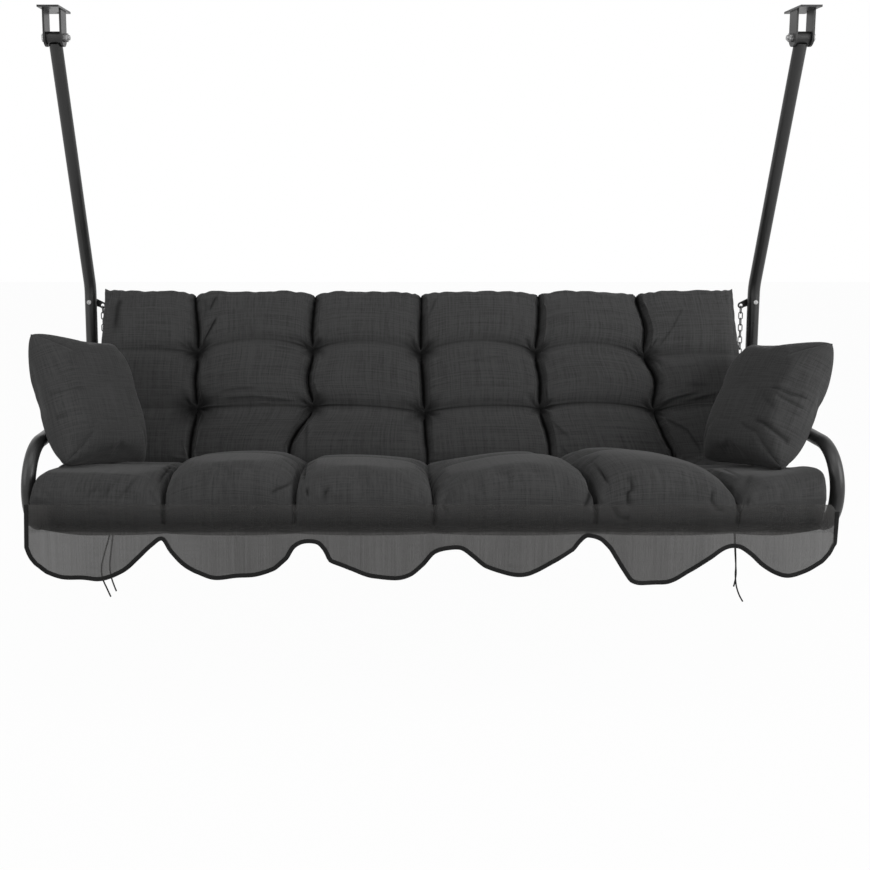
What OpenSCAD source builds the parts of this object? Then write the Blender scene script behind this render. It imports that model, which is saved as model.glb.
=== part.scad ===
// Hanging garden swing seat: two bent hanger tubes, looped arms, reclining back
// held by chains, tufted cushions with a scalloped valance, two scatter pillows.
// The origin is the middle of the beam bolts, on the top face of the brackets.

/* [Hanging] */
// Beam bolts down to the swing pivots
pivot_drop = 70; // [60:1:90]
// Middle of the left hanger tube to middle of the right one
hang_span = 1830; // [1825:1:1850]
// Pivot down to the elbow of a hanger tube
elbow_drop = 635; // [600:5:650]
// Lower hanger tube behind the pivots
hanger_back = 247; // [242:1:252]
// Bend radius at the elbow
elbow_r = 100; // [80:5:140]

/* [Side frames] */
// Outer diameter of the arm and hanger tubes
tube_d = 32; // [30:1:34]
// Wall of all tubes
wall = 2; // [1.5:0.5:2.5]
// Radius of the arm's front loop, at the tube's middle
arm_r = 97; // [94:1:100]
// Middle of the front loop below the pivots
arm_drop = 1051; // [1045:1:1060]
// Middle of the front loop in front of the pivots
arm_front = 231; // [225:1:237]
// How much the seat deck slopes down to the rear, in degrees
deck_slope = 5; // [4:0.5:6]

/* [Seat deck] */
// Diameter of the front and rear rails
rail_d = 30; // [28:1:30]
// Rear rail behind the front loop's lower end
rear_rail_at = 310; // [300:1:320]
// Wires across the deck
deck_wires = 25; // [15:2:31]
// Diameter of the deck wires
deck_wire_d = 5; // [4:0.5:6]

/* [Back frame] */
// Recline of the back at rest, in degrees
recline = 21; // [18:1:24]
// Hinge behind the rear rail
hinge_gap = 36; // [34:1:40]
// Middle to middle of the back's side tubes
back_span = 1710; // [1700:1:1716]
// Hinge to the middle of the top tube
back_h = 503; // [480:1:510]
// Diameter of the back tube
back_tube_d = 25; // [22:1:25]

/* [Chains] */
// Links in each chain
chain_links = 9; // [7:2:9]
// Diameter of the chain wire
chain_wire_d = 3; // [2.5:0.1:3]

/* [Cushions] */
// Depth of the seat cushion, front bulge to rear edge
seat_depth = 404; // [396:1:408]
// Height of the seat cushion's crown above the deck wires
seat_crown = 124; // [115:1:128]
// Height of the back cushion
back_cushion_h = 482; // [476:1:484]
// Thickness of the back cushion at its crown
back_crown = 118; // [100:1:122]
// Side of a scatter pillow
pillow_side = 336; // [300:1:340]
// Thickness of a scatter pillow
pillow_thick = 116; // [90:1:120]

/* [Valance] */
// Width of the dark binding
binding_w = 10; // [8:1:12]

/* [Hidden] */

GRAPHITE = [0.16, 0.165, 0.17];
ZINC = [0.62, 0.63, 0.65];
LINEN = [0.2, 0.2, 0.205];
BLACK = [0.05, 0.05, 0.055];

tube_r = tube_d / 2;
rail_r = rail_d / 2;
back_r = back_tube_d / 2;
side_x = hang_span / 2;
back_x = back_span / 2;

// Hanger: a straight lower leg, the elbow and a straight upper leg to the pivot
hang_lean = atan(hanger_back / elbow_drop);
elbow_z = -pivot_drop - elbow_drop;
elbow_cut = elbow_r * tan(hang_lean / 2);
hang_len = sqrt(hanger_back * hanger_back + elbow_drop * elbow_drop);
eye_r = 15;
eye_bore = 9;
eye_l = 34;

// Side frame: upper leg level, lower leg along the deck
arm_y = -arm_front;
arm_z = -pivot_drop - arm_drop;
deck_y = arm_y - arm_r * sin(deck_slope);
deck_z = arm_z - arm_r * cos(deck_slope);
leg_end = hanger_back - tube_r - 3;
low_leg = (leg_end - deck_y) / cos(deck_slope);
// Point on the lower leg's middle line, d behind its start
function leg_at(d) = [deck_y + d * cos(deck_slope), deck_z - d * sin(deck_slope)];
arm_line = arm_z + arm_r;
foot_line = deck_z - (hanger_back - deck_y) * tan(deck_slope);
hanger_foot = foot_line - 48;

// Front rail, on the front loop's own curve
front_rail_y = arm_y - 38;
front_rail_z = arm_z - sqrt(arm_r * arm_r - 38 * 38);

// The front rail seen from the deck's own frame
front_at = (front_rail_y - deck_y) * cos(deck_slope) - (front_rail_z - deck_z) * sin(deck_slope);
front_up = (front_rail_y - deck_y) * sin(deck_slope) + (front_rail_z - deck_z) * cos(deck_slope);
wire_r = deck_wire_d / 2;
deck_top = front_up + rail_r + deck_wire_d;
rear_rail_y = deck_y + rear_rail_at * cos(deck_slope);
rear_rail_z = deck_z - rear_rail_at * sin(deck_slope);
hinge_at = rear_rail_at + hinge_gap;
hinge_y = deck_y + hinge_at * cos(deck_slope);
hinge_z = deck_z - hinge_at * sin(deck_slope);
cheek_t = 3;
hinge_bolt_r = 4;

// Fasteners
bolt_r = 4;
bolt_hole = 4.2;
plate_t = 4;
plate_hole = tube_r + 28;
grip = tube_r + plate_t;

// Chain: its length fixes where the eye sits on the back tube
wire_cr = chain_wire_d / 2;
link_run = 10;
link_r = 5;
link_pitch = link_run + 2 * link_r - chain_wire_d - 0.2;
chain_len = (chain_links - 1) * link_pitch + link_run + 2 * link_r;
hook_x = side_x - tube_r - 12;
hook_y = hanger_back + tube_r + 1.5;
hook_z = elbow_z - 52;
hook_hole = 4.5;
hook_top = [hook_x, hook_y, hook_z - hook_hole + wire_cr + 0.6];
ring_r = 8;
ring_wire = 2.5;
ring_x = back_x + back_r + 11;
ring_seat = ring_r - ring_wire - wire_cr - 0.7;
back_dir = [0, sin(recline), cos(recline)];
reach = [hook_top[0] - ring_x, hook_top[1] - hinge_y, hook_top[2] - hinge_z];
reach_up = reach * back_dir;
ring_at = reach_up - sqrt(reach_up * reach_up - reach * reach + chain_len * chain_len) - ring_seat;
ring_mid = [ring_x, hinge_y + ring_at * sin(recline), hinge_z + ring_at * cos(recline)];
chain_foot = ring_mid + ring_seat * back_dir;

// Seams of the seat cushion, at its front and at its rear, left to right
front_seams = [-896, -600, -310, 0, 360, 676, 868];
rear_seams = [-872, -590, -296, 0, 296, 590, 872];
seam_steps = [0, 0.03, 0.1, 0.25, 0.5, 0.75, 0.9, 0.97];
bays = 6;
// How high each bay of the seat is stuffed at its left and right, and how far its crown leans to one side
bay_height = [[0.8, 0.84], [1.3, 1.3], [1.25, 1.15], [1.0, 1.35], [1.5, 1.15], [0.76, 0.76]];
bay_lean = [1, 1.2, 0.85, 1.1, 1, 1];
bay_round = [0.3, 0.42, 0.42, 0.55, 0.5, 0.3];
// How high two bays still meet over each seam
seam_meet = [1, 0.8, 0.72, 0.4, 0.78, 0.5, 1];
// Seams of the back cushion, left to right, its two rows of tufts and how far they arch in a bay
back_seams = [-871, -606, -299, -3, 301, 594, 850];
tuft_rows = [212, 363];
row_arch = [0, 10, 24, 5];
// The valance's hem, left to right: place across the seat, and depth below the seam
hem_line = [[-896, 95], [-890, 115], [-879, 133], [-856, 155], [-825, 166], [-785, 169], [-744, 169],
  [-708, 160], [-681, 146], [-653, 120], [-626, 95], [-600, 80], [-582, 105], [-553, 134], [-529, 151],
  [-489, 165], [-445, 166], [-396, 160], [-354, 146], [-325, 119], [-312, 96], [-296, 86], [-275, 85],
  [-254, 90], [-240, 106], [-230, 128], [-190, 145], [-126, 163], [-85, 169], [-51, 160], [-24, 138],
  [-2, 110], [23, 98], [58, 98], [82, 114], [113, 140], [150, 156], [186, 160], [221, 152], [267, 125],
  [307, 104], [325, 82], [338, 72], [366, 78], [389, 100], [405, 126], [420, 150], [434, 170], [455, 178],
  [490, 180], [524, 175], [568, 150], [610, 116], [641, 98], [672, 96], [700, 114], [728, 140], [756, 156],
  [783, 160], [821, 150], [855, 128], [872, 110], [884, 90]];

// ---- Helpers ----

// Draws in the upright plane at x, with the drawing's x to the rear and its y up
module side_plane(x) translate([x, 0, 0]) rotate([90, 0, 90]) children();

module run(from, dir, len, r)
  translate([from[0], from[1], 0]) rotate([0, 0, dir]) rotate([0, 90, 0])
    cylinder(r = r, h = len, $fn = 40);

module bend(mid, bend_r, from, turn, r)
  translate([mid[0], mid[1], 0]) rotate([0, 0, from])
    rotate_extrude(angle = turn, $fn = 120) translate([bend_r, 0]) circle(r, $fn = 40);

// A round rod between two points
module rod(p, q, r, sides = 24) {
  d = q - p;
  len = norm(d);
  translate(p) rotate([0, acos(d[2] / len), atan2(d[1], d[0])]) cylinder(r = r, h = len, $fn = sides);
}

module along_x(p, r, len, sides = 32) translate(p) rotate([0, 90, 0]) cylinder(r = r, h = len, $fn = sides);

module on_deck() translate([0, deck_y, deck_z]) rotate([-deck_slope, 0, 0]) children();
module on_back() translate([0, hinge_y, hinge_z]) rotate([-recline, 0, 0]) children();
module both_sides() for (side = [-1, 1]) mirror([side < 0 ? 1 : 0, 0, 0]) children();

function mix(a, b, t) = a + (b - a) * t;
// 0 on a seam, 1 half-way between two seams
function crown(s, p) = pow(max(0, 4 * s * (1 - s)), p);
// 0 up to a, 1 from b on, smooth between them
function smooth(a, b, x) = let (t = min(1, max(0, (x - a) / (b - a)))) t * t * (3 - 2 * t);
// The outer half of the first and of the last bay, which no seam closes
function outer(b, s) = (b == 0 && s < 0.5) || (b == bays - 1 && s > 0.5);
// Rounding of a cushion's end, d from the end, over the length r
function rim(d, r) = max(0.06, pow(1 - pow(1 - min(1, d / r), 2), 0.5));

// Closed skin over equal rings of points, with its two ends capped
module skin(rings) {
  n = len(rings[0]);
  last = len(rings) - 1;
  polyhedron(
    points = [for (ring = rings) for (p = ring) p],
    faces = concat(
      [for (i = [0 : last - 1]) for (j = [0 : n - 1]) let (k = (j + 1) % n)
        [i * n + j, i * n + k, (i + 1) * n + k]],
      [for (i = [0 : last - 1]) for (j = [0 : n - 1]) let (k = (j + 1) % n)
        [i * n + j, (i + 1) * n + k, (i + 1) * n + j]],
      [for (j = [1 : n - 2]) [0, j + 1, j]],
      [for (j = [1 : n - 2]) [last * n, last * n + j, last * n + j + 1]]),
    convexity = 8);
}

// Stations across all bays: [bay number, place in the bay]
function stations() = concat(
  [for (b = [0 : bays - 1]) for (s = seam_steps) [b, s]], [[bays - 1, 1]]);

// ---- Stand mount ----

// Folded clevis bracket: a top plate under the beam and two rounded cheeks
module beam_bracket() color(GRAPHITE) {
  cheek_gap = eye_l / 2 + 1;
  difference() {
    translate([side_x - 26, -52, -5]) cube([52, 104, 5]);
    for (y = [-35, 35]) translate([side_x, y, -6]) cylinder(r = 4.5, h = 8, $fn = 32);
  }
  for (x = [side_x - cheek_gap - 5, side_x + cheek_gap])
    side_plane(x) linear_extrude(5) difference() {
      union() {
        translate([-22, -pivot_drop]) square([44, pivot_drop - 5]);
        translate([0, -pivot_drop]) circle(22, $fn = 64);
      }
      translate([0, -pivot_drop]) circle(6.05, $fn = 48);
    }
}
module beam_bracket_left() mirror([1, 0, 0]) beam_bracket();
module beam_bracket_right() beam_bracket();

module pivot_bolts() color(ZINC) both_sides() {
  translate([side_x + eye_l / 2 + 6, 0, -pivot_drop]) rotate([0, 90, 0]) cylinder(r = 10.5, h = 7.5, $fn = 6);
  along_x([side_x - eye_l / 2 - 20, 0, -pivot_drop], 6, eye_l + 26.001, 48);
}
module pivot_nuts() color(ZINC) both_sides()
  difference() {
    translate([side_x - eye_l / 2 - 16, 0, -pivot_drop]) rotate([0, 90, 0]) cylinder(r = 10.5, h = 10, $fn = 6);
    along_x([side_x - eye_l / 2 - 17, 0, -pivot_drop], 6.02, 12, 48);
  }

// ---- Hangers and side frames ----

module hanger_line(r) side_plane(side_x) {
  run([hanger_back, hanger_foot], 90, elbow_z - elbow_cut - hanger_foot, r);
  bend([hanger_back - elbow_r, elbow_z - elbow_cut], elbow_r, 0, hang_lean, r);
  run([hanger_back - elbow_cut * sin(hang_lean), elbow_z + elbow_cut * cos(hang_lean)],
    90 + hang_lean, hang_len - elbow_cut - 12, r);
}

// Bolt holes across the hanger and the side frame, as [y, z]
hanger_bolts = [[hanger_back, arm_line], [hanger_back, foot_line]];
leg_bolts = [[hanger_back - plate_hole, arm_line],
  leg_at((hanger_back - deck_y) / cos(deck_slope) - plate_hole)];

module cross_holes(places, r) for (p = places)
  along_x([side_x - 40, p[0], p[1]], r, 80);

// One bent tube with a welded eye sleeve at its top
module hanger() color(GRAPHITE) difference() {
  union() {
    hanger_line(tube_r);
    along_x([side_x - eye_l / 2, 0, -pivot_drop], eye_r, eye_l, 48);
  }
  difference() {
    hanger_line(tube_r - wall);
    along_x([side_x - eye_l, 0, -pivot_drop], eye_r, 2 * eye_l, 48);
  }
  along_x([side_x - eye_l, 0, -pivot_drop], eye_bore, 2 * eye_l, 48);
  cross_holes(hanger_bolts, bolt_hole);
  translate([side_x, hanger_back - 30, hook_z + 12]) rotate([-90, 0, 0]) cylinder(r = 3.2, h = 60, $fn = 32);
}
module hanger_left() mirror([1, 0, 0]) hanger();
module hanger_right() hanger();

// Flanged plastic bushes pressed into the eye sleeves
module pivot_bushes() color(BLACK) both_sides() difference() {
  union() {
    along_x([side_x - eye_l / 2, 0, -pivot_drop], eye_bore, eye_l, 48);
    for (x = [side_x - eye_l / 2 - 0.8, side_x + eye_l / 2]) along_x([x, 0, -pivot_drop], 12, 0.8, 48);
  }
  along_x([side_x - eye_l, 0, -pivot_drop], 6.05, 2 * eye_l, 48);
}

module side_line(r) side_plane(side_x) {
  run([arm_y, arm_line], 0, leg_end - arm_y, r);
  bend([arm_y, arm_z], arm_r, 90, 180 - deck_slope, r);
  run([deck_y, deck_z], -deck_slope, low_leg, r);
}

// Arm, front loop and seat side in one bent tube
module side_frame() color(GRAPHITE) difference() {
  side_line(tube_r);
  side_line(tube_r - wall);
  cross_holes(leg_bolts, bolt_hole);
  cross_holes([[front_rail_y, front_rail_z], [rear_rail_y, rear_rail_z]], bolt_hole);
}
module side_frame_left() mirror([1, 0, 0]) side_frame();
module side_frame_right() side_frame();

// Pairs of steel cheeks that join each leg of a side frame to its hanger
module joint_plate(y, z, tilt) for (x = [side_x - tube_r - plate_t, side_x + tube_r])
  translate([0, y, z]) rotate([-tilt, 0, 0]) side_plane(x) linear_extrude(plate_t) difference() {
    union() {
      translate([-plate_hole, -14]) square([plate_hole, 28]);
      for (y = [-plate_hole, 0]) translate([y, 0]) circle(14, $fn = 48);
    }
    for (y = [-plate_hole, 0]) translate([y, 0]) circle(bolt_hole, $fn = 32);
  }
module joint_plates() color(GRAPHITE) both_sides() {
  joint_plate(hanger_back, arm_line, 0);
  joint_plate(hanger_back, foot_line, deck_slope);
}

// Hex head outside, shank across, nut inside
bolt_places = concat(hanger_bolts, leg_bolts);

module frame_bolts() color(ZINC) {
  both_sides() for (p = bolt_places) {
    translate([side_x + grip, p[0], p[1]]) rotate([0, 90, 0]) cylinder(r = 7.5, h = 5.3, $fn = 6);
    along_x([side_x - grip - 9, p[0], p[1]], bolt_r, 2 * grip + 9.001);
  }
  both_sides() {
    translate([side_x, hanger_back - tube_r - 4.5, hook_z + 12]) rotate([-90, 0, 0]) cylinder(r = 6, h = 4.5, $fn = 40);
    translate([side_x, hanger_back - tube_r - 1, hook_z + 12]) rotate([-90, 0, 0]) cylinder(r = 3, h = tube_d + 11, $fn = 32);
  }
}
module frame_nuts() color(ZINC) {
  both_sides() for (p = bolt_places) difference() {
    translate([side_x - grip - 6.5, p[0], p[1]]) rotate([0, 90, 0]) cylinder(r = 7.5, h = 6.5, $fn = 6);
    along_x([side_x - grip - 8, p[0], p[1]], bolt_r + 0.02, 10);
  }
  both_sides() difference() {
    translate([side_x, hanger_back + tube_r + 3, hook_z + 12]) rotate([-90, 0, 0]) cylinder(r = 5.8, h = 5, $fn = 6);
    translate([side_x, hanger_back + tube_r, hook_z + 12]) rotate([-90, 0, 0]) cylinder(r = 3.02, h = 10, $fn = 32);
  }
}

// Rounded plastic plugs in the open tube ends
module tube_plugs() color(BLACK) both_sides() {
  translate([side_x, hanger_back, hanger_foot]) {
    cylinder(r = tube_r - wall, h = 16, $fn = 48);
    translate([0, 0, -4]) cylinder(r = tube_r, h = 4.001, $fn = 48);
  }
  side_plane(side_x) {
    run([leg_end - 14, arm_line], 0, 14, tube_r - wall);
    run(leg_at(low_leg - 14), -deck_slope, 14, tube_r - wall);
  }
}

// ---- Seat deck ----

// A tube with a threaded insert, 22 mm long, in each end
module rail(y, z) color(GRAPHITE) difference() {
  along_x([-side_x + tube_r, y, z], rail_r, 2 * (side_x - tube_r), 48);
  along_x([-side_x + tube_r + 22, y, z], rail_r - wall, 2 * (side_x - tube_r - 22), 48);
  both_sides() along_x([side_x - tube_r - 23, y, z], bolt_r + 0.02, 30);
}
module front_rail() rail(front_rail_y, front_rail_z);
module rear_rail() rail(rear_rail_y, rear_rail_z);

// Bolts from outside the side frames into the threaded ends of the rails
module rail_bolts() color(ZINC) both_sides()
  for (p = [[front_rail_y, front_rail_z], [rear_rail_y, rear_rail_z]]) {
    translate([side_x + tube_r, p[0], p[1]]) rotate([0, 90, 0]) cylinder(r = 7.5, h = 5.3, $fn = 6);
    along_x([side_x - tube_r - 20, p[0], p[1]], bolt_r, tube_d + 20.001);
  }

// Tubes from the front rail to the rear rail under the wires
module deck_struts() color(GRAPHITE) difference() {
  on_deck() for (x = [-450, 0, 450]) strut_line(x, 10);
  on_deck() for (x = [-450, 0, 450]) strut_line(x, 10 - wall);
  along_x([-side_x, front_rail_y, front_rail_z], rail_r, 2 * side_x, 48);
  on_deck() along_x([-side_x, rear_rail_at, 0], rail_r, 2 * side_x, 48);
}
module strut_line(x, r) rod([x, front_at, front_up - 1], [x, rear_rail_at, -1], r, 40);

// Welded grid: wires from rail to rail, and three wires across below them
module deck_grid() color(GRAPHITE) on_deck() {
  pitch = 1680 / (deck_wires - 1);
  for (i = [0 : deck_wires - 1]) {
    x = -840 + pitch * i;
    rod([x, front_at, front_up + rail_r + wire_r], [x, rear_rail_at, rail_r + wire_r], wire_r);
  }
  for (y = [60, 140, 220]) {
    level = mix(front_up, 0, (y - front_at) / (rear_rail_at - front_at)) + rail_r + wire_r;
    rod([-866, y, level - deck_wire_d + 1], [866, y, level - deck_wire_d + 1], wire_r);
  }
}

// ---- Chains ----

// Flat strap behind the hanger that carries the chain beside the tube
module chain_plates() color(GRAPHITE) both_sides()
  translate([0, hanger_back + tube_r + 3, 0]) rotate([90, 0, 0]) linear_extrude(3) difference() {
    union() {
      translate([hook_x, hook_z]) circle(9, $fn = 48);
      translate([side_x, hook_z + 12]) circle(11, $fn = 48);
      polygon([[hook_x - 3, hook_z - 8.4], [side_x + 3, hook_z + 1.5], [side_x - 4, hook_z + 22.2],
        [hook_x - 5, hook_z + 7.5]]);
    }
    translate([hook_x, hook_z]) circle(hook_hole, $fn = 32);
    translate([side_x, hook_z + 12]) circle(3.2, $fn = 32);
  }

module chain_link() for (end = [-1, 1]) {
  translate([0, 0, end * link_run / 2]) rotate([90, 0, 0])
    rotate([0, 0, end > 0 ? 0 : 180]) rotate_extrude(angle = 180, $fn = 48)
      translate([link_r, 0]) circle(wire_cr, $fn = 20);
  translate([end * link_r, 0, -link_run / 2]) cylinder(r = wire_cr, h = link_run, $fn = 20);
}

// Links on the line from the strap's hole to the eye, each turned a quarter
module chain() color(ZINC) {
  d = chain_foot - hook_top;
  translate(hook_top) rotate([0, acos(d[2] / norm(d)), atan2(d[1], d[0])])
    for (i = [0 : chain_links - 1])
      translate([0, 0, link_run / 2 + link_r + i * link_pitch])
        rotate([0, 0, 90 * (i % 2) + atan2(d[1], d[0]) + 90]) chain_link();
}
module chain_left() mirror([1, 0, 0]) chain();
module chain_right() chain();

// Eyes on the back tube that the chains hold
module chain_eyes() color(ZINC) both_sides() on_back() translate([0, 0, ring_at]) {
  translate([ring_x, 0, 0]) rotate([90, 0, 0])
    rotate_extrude($fn = 64) translate([ring_r, 0]) circle(ring_wire, $fn = 24);
  along_x([back_x - back_r - 8, 0, 0], 3, ring_x - ring_r - back_x + back_r + 8);
}
module eye_nuts() color(ZINC) both_sides() on_back() difference() {
  translate([back_x - back_r - 5, 0, ring_at]) rotate([0, 90, 0]) cylinder(r = 5.8, h = 5, $fn = 6);
  along_x([back_x - back_r - 10, 0, ring_at], 3.02, 20);
}

// ---- Back frame ----

module hinge_brackets() color(GRAPHITE) both_sides() on_deck()
  for (x = [back_x - back_r - 0.5 - cheek_t, back_x + back_r + 0.5])
    side_plane(x) linear_extrude(cheek_t) difference() {
      union() {
        translate([rear_rail_at, -12]) square([hinge_gap, 24]);
        translate([hinge_at, 0]) circle(12, $fn = 48);
      }
      translate([rear_rail_at, 0]) circle(rail_r, $fn = 48);
      translate([hinge_at, 0]) circle(hinge_bolt_r + 0.04, $fn = 40);
    }
module hinge_bolts() color(ZINC) both_sides() {
  translate([back_x + back_r + 0.5 + cheek_t, hinge_y, hinge_z]) rotate([0, 90, 0]) cylinder(r = 7.5, h = 5.3, $fn = 6);
  along_x([back_x - back_r - cheek_t - 10, hinge_y, hinge_z], hinge_bolt_r, 2 * back_r + 2 * cheek_t + 10.501, 40);
}
module hinge_nuts() color(ZINC) both_sides() difference() {
  translate([back_x - back_r - 0.5 - cheek_t - 6.5, hinge_y, hinge_z]) rotate([0, 90, 0]) cylinder(r = 7.5, h = 6.5, $fn = 6);
  along_x([back_x - back_r - 20, hinge_y, hinge_z], hinge_bolt_r + 0.02, 30, 40);
}

module back_line(r) rotate([90, 0, 0]) {
  corner = 60;
  run([-back_x + corner, back_h], 0, back_span - 2 * corner, r);
  for (side = [-1, 1]) {
    run([side * back_x, -15], 90, back_h - corner + 15, r);
    bend([side * (back_x - corner), back_h - corner], corner, side > 0 ? 0 : 90, 90, r);
  }
}

// One tube bent to a wide arch, hinged at its two feet
module back_frame() color(GRAPHITE) on_back() difference() {
  back_line(back_r);
  back_line(back_r - wall);
  both_sides() along_x([back_x - 20, 0, 0], hinge_bolt_r + 0.04, 40, 40);
  both_sides() along_x([back_x - 20, 0, ring_at], 3.1, 40);
}
module back_plugs() color(BLACK) both_sides() on_back() translate([back_x, 0, -18]) {
  cylinder(r = back_r, h = 3, $fn = 40);
  cylinder(r = back_r - wall, h = 9, $fn = 40);
}

// Lower cross tube and two uprights welded inside the arch
module back_struts() color(GRAPHITE) on_back() difference() {
  upright_lines(10, 8);
  upright_lines(10 - wall, 8 - wall);
  both_sides() translate([back_x, 0, 0]) cylinder(r = back_r, h = 200, $fn = 40);
  along_x([-back_x, 0, back_h], back_r, back_span, 40);
}
module upright_lines(cross_r, upright_r) {
  along_x([-back_x, 10 - back_r, 70], cross_r, back_span, 40);
  for (x = [-285, 285]) translate([x, 11.2 - back_r, 70]) cylinder(r = upright_r, h = back_h - 70, $fn = 40);
}
module back_grid() color(GRAPHITE) on_back() {
  for (i = [0 : 20]) rod([-750 + 75 * i, -back_r - 2, 62], [-750 + 75 * i, -back_r - 2, back_h], 2);
  for (z = [180, 290, 400]) rod([-back_x + back_r, -back_r + 1.2, z], [back_x - back_r, -back_r + 1.2, z], 2);
}

// ---- Cushions ----

seat_floor = deck_top + 0.6;
seat_front = -158;
deck_fall = front_up / (rear_rail_at - front_at);
seam_up = 52;

front_dip = 30;
front_sag = 32;
right_swell = 22;
seat_top = [-1, -0.985, -0.93, -0.82, -0.6, -0.3, -0.05, 0.1, 0.25, 0.5, 0.75, 0.92];
seat_under = [1, 0.9, 0.6, 0.1, -0.45, -0.6, -0.75, -0.9, -0.985];

// How far the front seam is pulled down between two bays
function seam_dip(b, s) = outer(b, s) ? 0 : front_dip * (1 - crown(s, 0.4));
function seat_y(b, s, t) = seat_front + seat_depth / 2 * (1 + t * (1 - 0.05 * (1 - crown(s, 0.45))));
function seat_point(b, s, t, over) = let (
    end_gap = b == 0 ? s * 300 : b == bays - 1 ? (1 - s) * 200 : 300,
    across = outer(b, s) ? 1 : crown(pow(s, bay_lean[b]), bay_round[b]),
    meet = seam_meet[s < 0.5 ? b : b + 1],
    floor_high = mix(mix(0.5 * meet, meet, smooth(-0.95, -0.6, t)), 0.65, smooth(0.3, 0.7, t)),
    row = 1 - 0.24 * exp(-pow(abs(t - 0.1) / 0.13, 1.3)),
    full = pow(max(0, 1 - pow(abs(t), over ? (t > 0 ? 3.6 : 11) : 7)), 0.5),
    corner = pow(b == 0 ? 1 - s : b == bays - 1 ? s : 0, 3) * (1 - smooth(-0.7, -0.1, t)),
    stuffed = mix(bay_height[b][0], bay_height[b][1], s) + 0.4 * corner,
    high = (seat_crown - seam_up - 6) * mix(floor_high, stuffed, across) * row,
    dip = seam_dip(b, s) * (1 - smooth(-1, -0.35, t)),
    sag = front_sag * (1 - smooth(-0.86, -0.56, t)) * (outer(b, s) ? 0.8 : 1),
    low = (seam_up - 1 - dip) * mix(0.8, 1, crown(s, 0.4)) + sag,
    y = seat_y(b, s, t) - (over ? 12 * sin(180 * min(1, (1 + t) / 0.5)) * across : 0),
    z = seat_floor + seam_up - dip + (over ? high : -low) * full * rim(end_gap, 12)
      - (y - front_at) * deck_fall - (over ? 0.16 * max(0, y - 60) * full : 0))
  [mix(mix(front_seams[b], front_seams[b + 1], s), mix(rear_seams[b], rear_seams[b + 1], s), t / 2 + 0.5)
    + (b == bays - 1 ? right_swell * s * s * smooth(-1, -0.65, t) * (1 - smooth(0.2, 1, t)) : 0), y, z];

module seat_cushion() color(LINEN) on_deck()
  skin([for (st = stations()) concat(
    [for (t = seat_top) seat_point(st[0], st[1], t, true)],
    [for (t = seat_under) seat_point(st[0], st[1], t, false)])]);

// Back cushion: six bays by three rows
back_low = 56;
back_half = back_crown / 2;
row_steps = [0.002, 0.03, 0.1, 0.2, 0.295, 0.333, 0.371, 0.5, 0.629, 0.667, 0.705, 0.85, 0.96, 0.998];
rear_steps = [0.97, 0.8, 0.5, 0.2, 0.03];

// Height of v on the cover, bent so that the creases between rows rise in the middle of a bay
function back_row(v, s, ear) = let (
    marks = [back_low + 6 - ear, tuft_rows[0], tuft_rows[1], back_low + back_cushion_h + ear],
    r = min(2, floor(v * 3)),
    q = v * 3 - r)
  mix(marks[r], marks[r + 1], q) + mix(row_arch[r], row_arch[r + 1], q) * crown(s, 0.8);
function back_point(b, s, v, front) = let (
    x = mix(back_seams[b], back_seams[b + 1], s),
    end_gap = min(x - back_seams[0], back_seams[bays] - x),
    tuft = min(abs(v - 1 / 3), abs(v - 2 / 3)),
    crease = 1 - 0.26 * exp(-pow(tuft / 0.036, 1.1)) * mix(1.25, 1, crown(s, 0.5)),
    seam = mix(0.04 + 0.12 * smooth(0, 0.12, tuft), 1, outer(b, s) ? 1 : crown(s, 0.26)),
    edge = pow(max(0, 1 - pow(abs(2 * v - 1), v < 0.5 ? 3.4 : 6)), 0.5),
    rear = min(1, edge * 1.25) * mix(0.8, 1, crown(s, 0.26)),
    deep = (front ? seam * crease * edge : -rear) * (back_half - 0.5))
  [x, -back_r - 4 - back_half - deep * rim(end_gap, 55), back_row(v, s, 6 * exp(-end_gap / 20))];

module back_cushion() color(LINEN) on_back()
  skin([for (st = stations()) concat(
    [for (v = row_steps) back_point(st[0], st[1], v, true)],
    [for (v = rear_steps) back_point(st[0], st[1], v, false)])]);

// Elastic straps that hold the cushion to the arch's top tube
module back_straps() color(BLACK) on_back() for (x = [-562.5, -187.5, 187.5, 562.5])
  translate([x - 12, 0, back_h]) rotate([90, 0, 90]) linear_extrude(24) difference() {
    union() {
      circle(back_r + 2.2, $fn = 48);
      translate([-back_r - 4, -40]) square([2, 40]);
    }
    circle(back_r + 0.2, $fn = 48);
  }

// A stuffed square: full in the middle, thin at the seam, sides drawn in
pillow_steps = [-1, -0.97, -0.88, -0.7, -0.45, -0.15, 0.15, 0.45, 0.7, 0.88, 0.97, 1];
function pillow_ring(u) = let (
    edge = pow(max(0, 1 - pow(abs(u), 3.6)), 0.5),
    half = pillow_side / 2)
    [for (side = [-1, 1]) for (w = side < 0 ? pillow_steps : -pillow_steps)
      let (thick = edge * pow(max(0, 1 - pow(abs(w), 3.6)), 0.5))
      [half * u * (1 - 0.055 * (1 - w * w)), side * (pillow_thick / 2 * thick + 0.8),
        half * w * (1 - 0.055 * (1 - u * u))]];

module pillow(mid, lean, roll, turn) color(LINEN) translate(mid)
  rotate([0, 0, turn]) rotate([lean, 0, 0]) rotate([0, roll, 0])
    skin([for (u = pillow_steps) pillow_ring(u)]);
module pillow_left() pillow([-829, -114, -947], -25, 14, 73);
module pillow_right() pillow([828, -110, -955], -29, -11, -80);

// ---- Valance ----

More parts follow.
